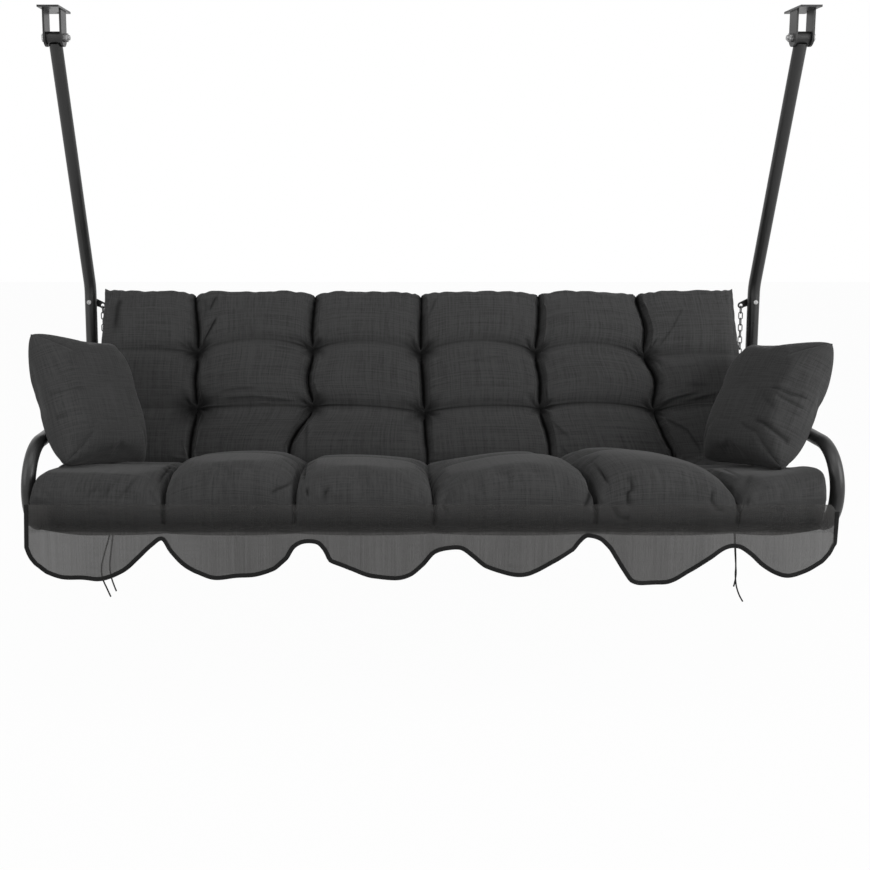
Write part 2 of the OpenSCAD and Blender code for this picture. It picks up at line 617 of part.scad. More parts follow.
// Bay and place of x along the cushion's front seam
function inside(x) = min(front_seams[bays] - 1, max(front_seams[0] + 1, x));
function bay_of(x) = len([for (seam = front_seams) if (inside(x) >= seam) seam]) - 1;
function place(x) = let (b = bay_of(x)) (inside(x) - front_seams[b]) / (front_seams[b + 1] - front_seams[b]);
function seam_point(x) = let (
    b = bay_of(x),
    y = seat_y(b, place(x), -1),
    z = seat_floor + seam_up - seam_dip(b, place(x)) - (seat_front - front_at) * deck_fall)
  [deck_y + y * cos(deck_slope) + z * sin(deck_slope), deck_z - y * sin(deck_slope) + z * cos(deck_slope)];
seam_z = seam_point(front_seams[0])[1];
// A point of the valance: t is 0 at the seam and 1 at the hem
function hung(p, t, rise, thick) = let (at = seam_point(p[0]))
  [p[0], at[0] - 1.6 - t * (9 + 5 * sin(p[0] * 1.9) + 3 * sin(p[0] * 4.3)) + thick,
    mix(at[1], seam_z - p[1] + rise, t)];

module valance() color([0.5, 0.49, 0.48]) skin([for (p = hem_line) concat(
  [for (t = [0, 0.35, 0.7, 1]) hung(p, t, binding_w, 0.7)],
  [for (t = [1, 0.7, 0.35, 0]) hung(p, t, binding_w, -0.7)])]);

module valance_binding() color(BLACK) skin([for (p = hem_line)
  [hung(p, 1, binding_w, 1.4), hung(p, 1, 0, 1.4), hung(p, 1, 0, -1.4), hung(p, 1, binding_w, -1.4)]]);

// ---- Ties ----

tie_x = 824;
tie_r = 1.6;
// Routes of the tie ends, from the knot under the rear rail, as steps from the rail's middle
left_front = [[0, -4, -27], [0, -4, -40], [-6, -5, -80], [-16, -7, -120], [-28, -8, -160], [-36, -8, -195],
  [-34, -7, -225], [-24, -6, -252], [-14, -6, -276]];
left_rear = [[0, 4, -27], [0, 4, -40], [-2, 6, -80], [-8, 8, -120], [-14, 9, -160], [-18, 9, -195],
  [-15, 8, -225], [-8, 8, -250], [-2, 8, -266]];
right_front = [[0, -4, -27], [0, -4, -40], [2, -5, -80], [4, -6, -120], [7, -6, -160], [9, -5, -195],
  [9, -4, -215], [12, -6, -245], [20, -8, -270], [30, -9, -288]];
right_rear = [[0, 4, -27], [0, 4, -40], [3, 5, -80], [6, 5, -120], [9, 4, -160], [12, 3, -195],
  [13, 2, -215], [12, 4, -235], [9, 5, -252]];

// Point on a smooth curve through the route, at t from 0 to 1 between p1 and p2
function spline(p0, p1, p2, p3, t) = 0.5 * ((2 * p1) + (p2 - p0) * t
  + (2 * p0 - 5 * p1 + 4 * p2 - p3) * t * t + (3 * p1 - p0 - 3 * p2 + p3) * t * t * t);
function curve(route, n) = let (last = len(route) - 1) concat(
  [for (i = [0 : last - 1]) for (k = [0 : n - 1])
    spline(route[max(0, i - 1)], route[i], route[i + 1], route[min(last, i + 2)], k / n)],
  [route[last]]);
module cord(route, side) color(BLACK) {
  points = curve(route, 2);
  last = len(points) - 1;
  skin([for (i = [0 : last]) let (
      d = points[min(last, i + 1)] - points[max(0, i - 1)],
      w = -d / norm(d),
      u = cross([0, 1, 0], w) / norm(cross([0, 1, 0], w)),
      v = cross(w, u))
    [for (a = [0 : 45 : 315])
      [side * tie_x, rear_rail_y, rear_rail_z] + points[i] + tie_r * (cos(a) * u + sin(a) * v)]]);
}
module tie_left_front() cord(left_front, -1);
module tie_left_rear() cord(left_rear, -1);
module tie_right_front() cord(right_front, 1);
module tie_right_rear() cord(right_rear, 1);

// Cord loops round the rear rail, each with its knot
module tie_loops() color(BLACK) both_sides() translate([tie_x, rear_rail_y, rear_rail_z]) {
  for (x = [-2.2, 2.2]) translate([x, 0, 0]) rotate([0, 90, 0])
    rotate_extrude($fn = 64) translate([rail_r + 2, 0]) circle(1.8, $fn = 20);
  translate([0, 0, -rail_r - 7]) rotate([0, 90, 0]) sphere(r = 6, $fn = 32);
}

beam_bracket_left();
beam_bracket_right();
pivot_bolts();
pivot_nuts();
hanger_left();
hanger_right();
pivot_bushes();
side_frame_left();
side_frame_right();
joint_plates();
front_rail();
rear_rail();
deck_struts();
deck_grid();
frame_bolts();
frame_nuts();
rail_bolts();
tube_plugs();
chain_plates();
chain_left();
chain_right();
hinge_brackets();
hinge_bolts();
hinge_nuts();
back_frame();
back_struts();
back_grid();
back_plugs();
chain_eyes();
eye_nuts();
seat_cushion();
valance();
valance_binding();
back_cushion();
back_straps();
pillow_left();
pillow_right();
tie_loops();
tie_left_front();
tie_left_rear();
tie_right_front();
tie_right_rear();
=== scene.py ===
"""Hanging garden swing seat: tubes, wire deck, chains, stuffed cushions, valance and ties."""
import math

import bmesh
import bpy
from mathutils import Matrix, Vector, noise


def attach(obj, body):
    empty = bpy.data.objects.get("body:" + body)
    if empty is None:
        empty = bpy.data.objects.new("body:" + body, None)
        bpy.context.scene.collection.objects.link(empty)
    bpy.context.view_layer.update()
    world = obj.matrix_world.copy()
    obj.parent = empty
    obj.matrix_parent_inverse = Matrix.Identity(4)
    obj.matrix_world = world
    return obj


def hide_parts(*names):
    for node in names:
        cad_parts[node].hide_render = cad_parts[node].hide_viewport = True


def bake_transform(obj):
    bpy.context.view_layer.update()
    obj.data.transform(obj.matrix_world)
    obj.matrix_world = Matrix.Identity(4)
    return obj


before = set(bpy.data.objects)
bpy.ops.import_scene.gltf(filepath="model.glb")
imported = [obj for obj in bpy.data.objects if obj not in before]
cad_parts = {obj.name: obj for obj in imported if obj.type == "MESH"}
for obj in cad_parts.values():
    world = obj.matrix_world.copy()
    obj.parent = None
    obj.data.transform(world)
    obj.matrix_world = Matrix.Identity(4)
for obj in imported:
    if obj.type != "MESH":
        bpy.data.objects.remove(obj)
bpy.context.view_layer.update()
scene = bpy.context.scene

# ---- Sizes, in metres ----

PIVOT_DROP = 0.070
ARM_R = 0.097
ARM_MID = (-0.231, -PIVOT_DROP - 1.051)
DECK_SLOPE = math.radians(5)
RAIL_R = 0.015
WIRE_D = 0.005
REAR_RAIL_AT = 0.310
HINGE_AT = REAR_RAIL_AT + 0.036
RECLINE = math.radians(21)
BACK_TUBE_R = 0.0125

deck_mid = Vector((0, ARM_MID[0] - ARM_R * math.sin(DECK_SLOPE), ARM_MID[1] - ARM_R * math.cos(DECK_SLOPE)))
DECK = Matrix.Translation(deck_mid) @ Matrix.Rotation(-DECK_SLOPE, 4, "X")
rear_rail = DECK @ Vector((0, REAR_RAIL_AT, 0))
hinge = DECK @ Vector((0, HINGE_AT, 0))
BACK = Matrix.Translation(hinge) @ Matrix.Rotation(-RECLINE, 4, "X")

# Front rail, on the arms' round front, seen from the deck
FRONT_RAIL_AHEAD = 0.038
front_rail_drop = math.sqrt(ARM_R ** 2 - FRONT_RAIL_AHEAD ** 2)
front_rail = DECK.inverted() @ Vector((0, ARM_MID[0] - FRONT_RAIL_AHEAD, ARM_MID[1] - front_rail_drop))
deck_fall = front_rail.z / (REAR_RAIL_AT - front_rail.y)

# Seat cushion, in the deck's frame
SEAT_GAP = 0.0006
SEAT_FLOOR = front_rail.z + RAIL_R + WIRE_D + SEAT_GAP
SEAT_FRONT = -0.158
SEAT_DEPTH = 0.404
SEAM_UP = 0.052
SEAT_CROWN = 0.124
FRONT_SEAMS = [-0.896, -0.600, -0.310, 0.0, 0.360, 0.676, 0.868]
REAR_SEAMS = [-0.872, -0.590, -0.296, 0.0, 0.296, 0.590, 0.872]
BAYS = 6

# Back cushion, in the back's frame
BACK_LOW = 0.062
BACK_HIGH = 0.538
BACK_CROWN = 0.118
BACK_GAP = 0.004
BACK_PLANE = -BACK_TUBE_R - BACK_GAP - BACK_CROWN / 2

# Room that the two cushions' covers leave for their swelling
SEAT_ROOM = 0.006
BACK_ROOM = 0.004

# Flat cloth of one cushion and of one pillow, which sets the scale of the weave
CUSHION_CLOTH = (1.8, 0.52)
PILLOW_CLOTH = 0.4

# Cells of the cloths: across a bay, up each cushion, along a pillow, along and down the valance, and
# round its binding
BAY_CELLS = 44
SEAT_CELLS = 56
BACK_CELLS = 78
PILLOW_CELLS = 52
VALANCE_CELLS = (356, 26)
BINDING_CELLS = 10


def mix(a, b, t):
    return a + (b - a) * t


def crown(s, p):
    """0 on a seam, 1 half-way between two seams."""
    return max(0.0, 4 * s * (1 - s)) ** p


def smooth(a, b, x):
    t = min(1.0, max(0.0, (x - a) / (b - a)))
    return t * t * (3 - 2 * t)


def flow(before, p, q, after, t):
    """Smooth way from p to q, t from 0 to 1, with the values before and after them."""
    return 0.5 * (2 * p + (q - before) * t + (2 * before - 5 * p + 4 * q - after) * t * t
                  + (3 * p - before - 3 * q + after) * t ** 3)


def through(places, values, x):
    """Smooth line through the values, x held between the first and the last place."""
    last = len(places) - 1
    i = 0
    while i < last - 1 and places[i + 1] < x:
        i += 1
    t = min(1.0, max(0.0, (x - places[i]) / (places[i + 1] - places[i])))
    return flow(values[max(0, i - 1)], values[i], values[i + 1], values[min(last, i + 2)], t)


def piece_from(bm, name, finish, rounded=True):
    """The object that a finished bmesh becomes."""
    mesh = bpy.data.meshes.new(name)
    bm.to_mesh(mesh)
    bm.free()
    for polygon in mesh.polygons:
        polygon.use_smooth = rounded
    piece = bpy.data.objects.new(name, mesh)
    scene.collection.objects.link(piece)
    mesh.materials.append(finish)
    return piece


# ---- Materials ----

def material(name, base, rough=0.5, metal=0.0, specular=0.5, **more):
    mat = bpy.data.materials.new(name)
    mat.use_nodes = True
    shader = mat.node_tree.nodes["Principled BSDF"]
    shader.inputs["Base Color"].default_value = (*base, 1)
    shader.inputs["Roughness"].default_value = rough
    shader.inputs["Metallic"].default_value = metal
    shader.inputs["Specular IOR Level"].default_value = specular
    for socket, value in more.items():
        shader.inputs[socket.replace("_", " ")].default_value = value
    return mat


class Nodes:
    """Shorthand for one material's node tree."""

    def __init__(self, mat):
        self.tree = mat.node_tree
        self.shader = self.tree.nodes["Principled BSDF"]

    def add(self, kind, values=(), **settings):
        node = self.tree.nodes.new(kind)
        for key, value in settings.items():
            setattr(node, key, value)
        for key, value in dict(values).items():
            node.inputs[key].default_value = value
        return node

    def join(self, out, into):
        self.tree.links.new(out, into)

    def place(self, source, scale):
        """Texture coordinates from Object or UV, stretched by scale."""
        coord = self.add("ShaderNodeTexCoord")
        mapping = self.add("ShaderNodeMapping", {"Scale": scale})
        self.join(coord.outputs[source], mapping.inputs["Vector"])
        return mapping.outputs["Vector"]

    def noise(self, source, scale, detail=2.0, rough=0.5):
        tex = self.add("ShaderNodeTexNoise", {"Scale": 1.0, "Detail": detail, "Roughness": rough})
        self.join(self.place(source, scale), tex.inputs["Vector"])
        return tex.outputs["Fac"]

    def math(self, kind, a, b):
        node = self.add("ShaderNodeMath", operation=kind)
        for i, v in enumerate((a, b)):
            if isinstance(v, (int, float)):
                node.inputs[i].default_value = v
            else:
                self.join(v, node.inputs[i])
        return node.outputs[0]

    def ramp(self, fac, stops):
        node = self.add("ShaderNodeValToRGB")
        ramp = node.color_ramp
        while len(ramp.elements) < len(stops):
            ramp.elements.new(0.5)
        for element, (at, colour) in zip(ramp.elements, stops):
            element.position = at
            element.color = (*colour, 1)
        self.join(fac, node.inputs["Fac"])
        return node.outputs["Color"]

    def towards(self, cloth, shade, share):
        """The cloth's colour, taken towards a shade by a share of 0 to 1."""
        node = self.add("ShaderNodeMix", {7: (*shade, 1)}, data_type="RGBA")
        self.join(share, node.inputs[0])
        self.join(cloth, node.inputs[6])
        return node.outputs[2]

    def spread(self, fac, low, high, out_low, out_high):
        node = self.add("ShaderNodeMapRange", {1: low, 2: high, 3: out_low, 4: out_high})
        self.join(fac, node.inputs[0])
        return node.outputs[0]

    def colour(self, out):
        self.join(out, self.shader.inputs["Base Color"])

    def rough(self, out):
        self.join(out, self.shader.inputs["Roughness"])

    def bump(self, height, strength, distance):
        node = self.add("ShaderNodeBump", {"Strength": strength, "Distance": distance})
        self.join(height, node.inputs["Height"])
        self.join(node.outputs["Normal"], self.shader.inputs["Normal"])


def grey(v, warm=0.0):
    """Grey of that level, and warm is how much more red and less blue it holds."""
    return (v * (1 + warm), v, v * (1 - warm))


def painted(name, base):
    """Powder coat: satin gloss with a faint orange peel and thin dust."""
    mat = material(name, grey(base), 0.34, specular=0.4)
    n = Nodes(mat)
    wide = n.noise("Object", (6, 6, 6), 4)
    fine = n.noise("Object", (900, 900, 900), 2)
    n.colour(n.ramp(wide, [(0.3, grey(base * 0.85)), (0.7, grey(base * 1.25))]))
    n.rough(n.spread(wide, 0.3, 0.7, 0.27, 0.42))
    n.bump(fine, 0.12, 0.0004)
    return mat


def plated(name, base, rough):
    """Plated steel, with dull and bright spots."""
    mat = material(name, grey(base), rough, metal=1.0)
    n = Nodes(mat)
    spots = n.noise("Object", (260, 260, 260), 4)
    n.colour(n.ramp(spots, [(0.3, grey(base * 0.6)), (0.65, grey(base * 1.2))]))
    n.rough(n.spread(spots, 0.3, 0.7, rough * 0.75, rough * 1.4))
    n.bump(spots, 0.15, 0.0003)
    return mat


def moulded(name, base):
    """Plastic with the fine grain of its mould."""
    mat = material(name, grey(base), 0.55)
    n = Nodes(mat)
    grain = n.noise("Object", (700, 700, 700), 3)
    n.colour(n.ramp(grain, [(0.35, grey(base * 0.8)), (0.65, grey(base * 1.3))]))
    n.rough(n.spread(grain, 0.3, 0.7, 0.45, 0.65))
    n.bump(grain, 0.2, 0.0003)
    return mat


# Near-black of the painted shade in the cushions' seams, creases and folds
PAINTED_FOLD_SHADE = 0.003


def linen(name, dark, light):
    """Slubbed linen weave: long thick threads both ways over a fine weave, on the cloth's own UV."""
    mat = material(name, grey((dark + light) / 2), 0.93, specular=0.06, Sheen_Weight=0.12)
    n = Nodes(mat)
    across = n.noise("UV", (9, 330, 1), 3, 0.6)
    along = n.noise("UV", (330, 9, 1), 3, 0.6)
    threads = n.noise("UV", (900, 60, 1), 1)
    picks = n.noise("UV", (60, 900, 1), 1)
    cloud = n.noise("UV", (5, 5, 1), 3)
    slub = n.math("ADD", across, along)
    fine = n.math("ADD", threads, picks)
    tone = n.math("ADD", n.math("MULTIPLY", slub, 0.62), n.math("MULTIPLY", fine, 0.22))
    tone = n.math("ADD", tone, n.math("MULTIPLY", cloud, 0.16))
    cloth = n.ramp(tone, [(0.60, grey(dark)), (0.78, grey((dark + light) / 2)), (1.0, grey(light))])
    # Painted shade: the fold attribute takes the cloth towards near-black in the seams, creases and folds and
    # round the tufts
    fold = n.add("ShaderNodeAttribute", attribute_name="fold")
    n.colour(n.towards(cloth, grey(PAINTED_FOLD_SHADE), fold.outputs["Fac"]))
    n.rough(n.spread(slub, 0.7, 1.3, 0.86, 0.98))
    n.bump(n.math("ADD", slub, n.math("MULTIPLY", fine, 0.7)), 0.35, 0.0012)
    return mat


# The strip of the valance over the cushion, as depths below the seam: the painted shade, where the cushion
# behind it keeps the light off, grows and ends, and the cloth closes
LAP_DARKENS = (0.0, 0.045)
LAP_ENDS = (0.061, 0.065)
LAP_CLOSES = (0.042, 0.060)
LAP_SHADE_PAINT = 0.020
# Distances from the middle of the seat over which the valance thins out, and over which its lap ends
VALANCE_THINS = (0.45, 0.85)
LAP_STOPS = (0.83, 0.86)
VALANCE_WARM = 0.02


def voile(name, base):
    """Open plain weave that lets some light through, on a UV of metres across and below the seam."""
    mat = material(name, grey(base, VALANCE_WARM), 0.9, specular=0.05)
    n = Nodes(mat)
    threads = n.noise("UV", (14, 500, 1), 2)
    picks = n.noise("UV", (560, 5, 1), 3)
    slub = n.math("ADD", n.math("MULTIPLY", threads, 0.7), n.math("MULTIPLY", picks, 1.3))
    cloth = n.ramp(n.math("MULTIPLY", slub, 0.5),
                   [(0.38, grey(base * 0.85, VALANCE_WARM)), (0.62, grey(base * 1.2, VALANCE_WARM))])
    place = n.add("ShaderNodeSeparateXYZ")
    n.join(n.place("UV", (1, 1, 1)), place.inputs[0])
    out = n.math("ABSOLUTE", place.outputs["X"], 0)
    down = place.outputs["Y"]
    # Painted shade on the strip over the cushion, darker lower down and ending at its foot
    lap_shade_painted = n.math("MULTIPLY", n.spread(down, *LAP_DARKENS, 0.12, 0.65), n.spread(down, *LAP_ENDS, 1.0, 0.0))
    n.colour(n.towards(cloth, grey(LAP_SHADE_PAINT, VALANCE_WARM), lap_shade_painted))
    ends = n.spread(out, *VALANCE_THINS, 0.0, 0.05)
    lap = n.math("MULTIPLY", n.spread(down, *LAP_CLOSES, 0.50, 0.0), n.spread(out, *LAP_STOPS, 1.0, 0.0))
    weave = n.spread(slub, 0.75, 1.25, 0.925, 0.975)
    n.join(n.math("SUBTRACT", n.math("SUBTRACT", weave, ends), lap), n.shader.inputs["Alpha"])
    n.bump(slub, 0.3, 0.0008)
    return mat


def tape(name, base):
    """Ribbed black binding tape."""
    mat = material(name, grey(base), 0.8, specular=0.25)
    n = Nodes(mat)
    rib = n.add("ShaderNodeTexWave", {"Scale": 1.0, "Distortion": 0.4}, bands_direction="X")
    n.join(n.place("UV", (380, 40, 1)), rib.inputs["Vector"])
    wear = n.noise("UV", (60, 60, 1), 3)
    n.colour(n.ramp(wear, [(0.3, grey(base * 0.7)), (0.7, grey(base * 1.5))]))
    n.bump(rib.outputs["Fac"], 0.3, 0.0005)
    return mat


def twine(name, base):
    """Twisted cord, its strands slanting round it."""
    mat = material(name, grey(base), 0.85, specular=0.2)
    n = Nodes(mat)
    strand = n.add("ShaderNodeTexWave", {"Scale": 180.0, "Distortion": 1.0}, bands_direction="DIAGONAL")
    n.join(n.place("Object", (1, 1, 1)), strand.inputs["Vector"])
    n.colour(n.ramp(strand.outputs["Fac"], [(0.2, grey(base * 0.6)), (0.8, grey(base * 1.5))]))
    n.bump(strand.outputs["Fac"], 0.4, 0.0005)
    return mat


GRAPHITE = painted("graphite_paint", 0.020)
ZINC = plated("zinc_steel", 0.36, 0.38)
CHAIN = plated("chain_steel", 0.16, 0.42)
PLASTIC = moulded("black_plastic", 0.020)
LINEN = linen("charcoal_linen", 0.024, 0.070)
VOILE = voile("valance_cloth", 0.082)
TAPE = tape("black_tape", 0.004)
TWINE = twine("tie_cord", 0.014)

FINISH = {
    GRAPHITE: ["beam_bracket_left", "beam_bracket_right", "hanger_left", "hanger_right",
               "side_frame_left", "side_frame_right", "joint_plates", "front_rail", "rear_rail",
               "deck_struts", "deck_grid", "chain_plates", "hinge_brackets", "back_frame",
               "back_struts", "back_grid"],
    ZINC: ["pivot_bolts", "pivot_nuts", "frame_bolts", "frame_nuts", "rail_bolts", "hinge_bolts",
           "hinge_nuts", "chain_eyes", "eye_nuts"],
    PLASTIC: ["pivot_bushes", "tube_plugs", "back_plugs"],
    TWINE: ["tie_loops"],
}
for finish, names in FINISH.items():
    for name in names:
        for material_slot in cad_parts[name].material_slots:
            material_slot.material = finish

# ---- Camera ----

EYE = Vector((-0.133, -2.639, -0.450))
LOOK_DOWN = math.radians(7)
FOCAL_PX = 1050
IMAGE_PX = 870
CENTRE_PX = (374.0, 322.9)

view = bpy.data.cameras.new("camera")
camera = bpy.data.objects.new("camera", view)
scene.collection.objects.link(camera)
camera.location = EYE
camera.rotation_euler = (math.pi / 2 - LOOK_DOWN, 0, 0)
view.sensor_width = 36
view.lens = FOCAL_PX * view.sensor_width / IMAGE_PX
view.shift_x = (IMAGE_PX / 2 - CENTRE_PX[0]) / IMAGE_PX
view.shift_y = -(IMAGE_PX / 2 - CENTRE_PX[1]) / IMAGE_PX
scene.camera = camera

# ---- Ties ----

TIE_X = 0.824
TIE_R = 0.0020
# Side of each tie and its way down from the middle of the rear rail, in mm
TIES = {
    "tie_left_front": (-1, [(0, -4, -27), (0, -4, -40), (-6, -5, -80), (-16, -7, -120), (-28, -8, -160),
                            (-36, -8, -195), (-34, -7, -225), (-24, -6, -252), (-14, -6, -276)]),
    "tie_left_rear": (-1, [(0, 4, -27), (0, 4, -40), (-2, 6, -80), (-8, 8, -120), (-14, 9, -160),
                           (-18, 9, -195), (-15, 8, -225), (-8, 8, -250), (-2, 8, -266)]),
    "tie_right_front": (1, [(0, -4, -27), (0, -4, -40), (2, -5, -80), (4, -6, -120), (7, -6, -160),
                            (9, -5, -195), (9, -4, -215), (12, -6, -245), (20, -8, -270), (30, -9, -288)]),
    "tie_right_rear": (1, [(0, 4, -27), (0, 4, -40), (3, 5, -80), (6, 5, -120), (9, 4, -160),
                           (12, 3, -195), (13, 2, -215), (12, 4, -235), (9, 5, -252)]),
}


def flowing(points, steps):
    """Points on a smooth curve through the given ones."""
    route = [Vector(p) for p in points]
    last = len(route) - 1
    out = []
    for i in range(last):
        span = route[max(0, i - 1)], route[i], route[i + 1], route[min(last, i + 2)]
        out += [flow(*span, k / steps) for k in range(steps)]
    return out + [route[last]]


def tie(name, side, steps_mm):
    start = Vector((side * TIE_X, rear_rail.y, rear_rail.z))
    route = [start + p / 1000 for p in flowing(steps_mm, 4)]
    curve = bpy.data.curves.new(name, "CURVE")
    curve.dimensions = "3D"
    curve.bevel_depth = TIE_R
    curve.bevel_resolution = 3
    curve.use_fill_caps = True
    line = curve.splines.new("POLY")
    line.points.add(len(route) - 1)
    for point, at in zip(line.points, route):
        point.co = (*at, 1)
    cord = bpy.data.objects.new("soft_" + name, curve)
    scene.collection.objects.link(cord)
    curve.materials.append(TWINE)
    length = sum((b - a).length for a, b in zip(route, route[1:]))
    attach(cord, "swing")
    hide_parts(name)
    tuple(route[0])


for tie_name, (tie_side, tie_route) in TIES.items():
    tie(tie_name, tie_side, tie_route)

# ---- Cushions ----

def two_sheets(name, cells_u, cells_v, place, pin, cloth):
    """A closed cover of two sheets sewn round their edge, a front one and a rear one.

    place gives a sheet's points, pin how fast they are held and cloth their place on the flat cloth."""
    bm = bmesh.new()
    uv = bm.loops.layers.uv.new("cloth")
    share = bm.verts.layers.float.new("pin")
    for front in (True, False):
        made = bmesh.ops.create_grid(bm, x_segments=cells_u, y_segments=cells_v, size=1)["verts"]
        own = set(made)
        at = {v: ((v.co.x + 1) / 2, (v.co.y + 1) / 2) for v in made}
        new = [f for f in bm.faces if f.verts[0] in own]
        for f in new:
            for loop in f.loops:
                loop[uv].uv = cloth(*at[loop.vert])
        for v in made:
            v.co = place(*at[v], front)
            v[share] = pin(*at[v], front)
        if not front:
            bmesh.ops.reverse_faces(bm, faces=new)
    rims = [v for v in bm.verts if v.is_boundary]
    bmesh.ops.remove_doubles(bm, verts=rims, dist=1e-5)
    bmesh.ops.recalc_face_normals(bm, faces=bm.faces)
    pins = [v[share] for v in bm.verts]
    piece = piece_from(bm, name, LINEN)
    group = piece.vertex_groups.new(name="seams")
    for i, weight in enumerate(pins):
        if weight > 0:
            group.add([i], min(1.0, weight), "REPLACE")
    return piece


# How the cloth of the covers behaves while it is stuffed
STUFFING = {
    "quality": 4, "mass": 0.3, "tension_stiffness": 12, "compression_stiffness": 12, "shear_stiffness": 4,
    "bending_stiffness": 0.1, "air_damping": 2, "vertex_group_mass": "seams", "pin_stiffness": 1,
    "use_pressure": True, "shrink_min": -0.02,
}
STUFFING_STEPS = 20


def stuff(pieces):
    """Blows every cover up against its seams, and keeps each point within its piece's reach."""
    rest = {}
    for piece, (pressure, reach, keep) in pieces.items():
        rest[piece] = [v.co.copy() for v in piece.data.vertices]
        cloth = piece.modifiers.new("stuffing", "CLOTH")
        for setting, value in STUFFING.items():
            setattr(cloth.settings, setting, value)
        cloth.settings.uniform_pressure_force = pressure
        cloth.settings.effector_weights.gravity = 0
        cloth.collision_settings.use_collision = False
        cloth.point_cache.frame_start = 1
        cloth.point_cache.frame_end = STUFFING_STEPS
    for step in range(1, STUFFING_STEPS + 1):
        scene.frame_set(step)
    graph = bpy.context.evaluated_depsgraph_get()
    for piece, (pressure, reach, keep) in pieces.items():
        swollen = [v.co.copy() for v in piece.evaluated_get(graph).data.vertices]
        for vertex, before, after in zip(piece.data.vertices, rest[piece], swollen):
            move = after - before
            if keep:
                move = keep(before, move)
            if move.length > reach:
                move *= reach / move.length
            vertex.co = before + move
    for piece in pieces:
        piece.modifiers.remove(piece.modifiers["stuffing"])
        piece.data.update()
    scene.frame_set(1)


def between_seams(place, seams_at):
    """Keeps a swelling point from crossing the seam beside it, so that two bays meet in a closed crease."""
    back, turn, home = place.inverted(), place.inverted().to_3x3(), place.to_3x3()

    def keep(before, move):
        at, step = back @ before, turn @ move
        seams = seams_at(at)
        left = max([x for x in seams if x <= at.x + 1e-6], default=at.x)
        right = min([x for x in seams if x >= at.x - 1e-6], default=at.x)
        step.x = max(-0.45 * (at.x - left), min(0.45 * (right - at.x), step.x))
        return home @ step

    return keep


def refine(piece, place, depth_at):
    """Makes the cover's mesh finer, then presses the folds in: depth_at gives how deep, and how dark the
    shade painted into them is.
    """
    piece.vertex_groups.clear()
    finer = piece.modifiers.new("finer", "SUBSURF")
    finer.levels = finer.render_levels = 1
    mesh = bpy.data.meshes.new_from_object(piece.evaluated_get(bpy.context.evaluated_depsgraph_get()))
    piece.modifiers.clear()
    coarse = piece.data
    piece.data = mesh
    name = coarse.name
    bpy.data.meshes.remove(coarse)
    mesh.name = name
    back, turn = place.inverted(), place.inverted().to_3x3()
    shade = mesh.attributes.new("fold", "FLOAT", "POINT").data
    normals = [v.normal.copy() for v in mesh.vertices]
    for i, (vertex, normal) in enumerate(zip(mesh.vertices, normals)):
        deep, dark = depth_at(back @ vertex.co, turn @ normal)
        # Painted shade in the seams, creases and folds, kept for the cloth's colour
        shade[i].value = dark
        vertex.co -= normal * deep
    mesh.update()


# A point farther than this from a fold's box, in mm, is out of its reach
FOLD_REACH = 15


def along_folds(folds, a, b):
    """Depth and painted shade that a list of folds gives at (a, b), each fold a line of points in mm."""
    deep = dark = 0.0
    for points, strength, wide in folds:
        near = math.inf
        fade = 1.0
        for i, ((a1, b1), (a2, b2)) in enumerate(zip(points, points[1:])):
            if (min(a1, a2) - FOLD_REACH < a < max(a1, a2) + FOLD_REACH
                    and min(b1, b2) - FOLD_REACH < b < max(b1, b2) + FOLD_REACH):
                run = (a2 - a1) ** 2 + (b2 - b1) ** 2
                t = min(1.0, max(0.0, ((a - a1) * (a2 - a1) + (b - b1) * (b2 - b1)) / run))
                off = math.hypot(a - mix(a1, a2, t), b - mix(b1, b2, t)) / wide
                if off < near:
                    near = off
                    fade = min(1.0, 0.3 + 2 * (i + t), 0.3 + 2 * (len(points) - 1 - i - t))
        if near < 3:
            deep = max(deep, strength * fade * math.exp(-near * near))
            dark = max(dark, strength * fade * math.exp(-(near * 1.5) ** 2))
    return deep, dark


def bunched(v):
    """-1 to 1 for v from 0 to 1, with the cells closer together at both ends."""
    return math.sin(math.pi / 2 * (2 * v - 1))


def even_bays(u):
    """Bay number and place in it for u from 0 to 1, with the cells closer together at the seams."""
    along = min(u * BAYS, BAYS - 1e-9)
    bay = int(along)
    q = along - bay
    return bay, q - 0.74 * math.sin(2 * math.pi * q) / (2 * math.pi)


def outer(bay, s):
    """The outer half of the first and of the last bay, which no seam closes."""
    return (bay == 0 and s < 0.5) or (bay == BAYS - 1 and s > 0.5)


def end_gap(bay, s, end_bays):
    """Distance from the cushion's left or right end, or 1 where a bay has none."""
    if bay == 0:
        return s * end_bays[0]
    return (1 - s) * end_bays[1] if bay == BAYS - 1 else 1.0


def end_round(gap, r):
    """0 at an end, 1 from r on, round between."""
    return math.sqrt(max(0.0, 1 - (1 - min(1.0, gap / r)) ** 2))


def slit(away, wide):
    """1 away from a seam, falling to 0 in the narrow slit over it."""
    return 1 - math.exp(-(away / wide) ** 2)


SLIT_WIDE = 0.0045
GATHER_HIGH = 0.003
GATHER_PITCH = 0.030


def gathers(along, away, wide, seed):
    """Small gathers square to a seam: along it, and away from it."""
    shift = noise.noise(Vector((along * 22, seed, 0)))
    beat = 0.5 + 0.5 * noise.noise(Vector((along * 9, seed + 40, 0)))
    wave = math.sin(2 * math.pi * (along / GATHER_PITCH + 1.1 * shift))
    return GATHER_HIGH * beat * math.exp(-abs(away) / wide) * wave


def cushion_cloth(u, v):
    return u * CUSHION_CLOTH[0], v * CUSHION_CLOTH[1]


# Seat cushion: six stuffed bays, each with a front and a rear row

SEAT_PLANE = SEAT_FLOOR + SEAM_UP
SEAT_MID = SEAT_FRONT + SEAT_DEPTH / 2
FRONT_DIP = 0.030
FRONT_SAG = 0.036
RIGHT_SWELL = 0.008
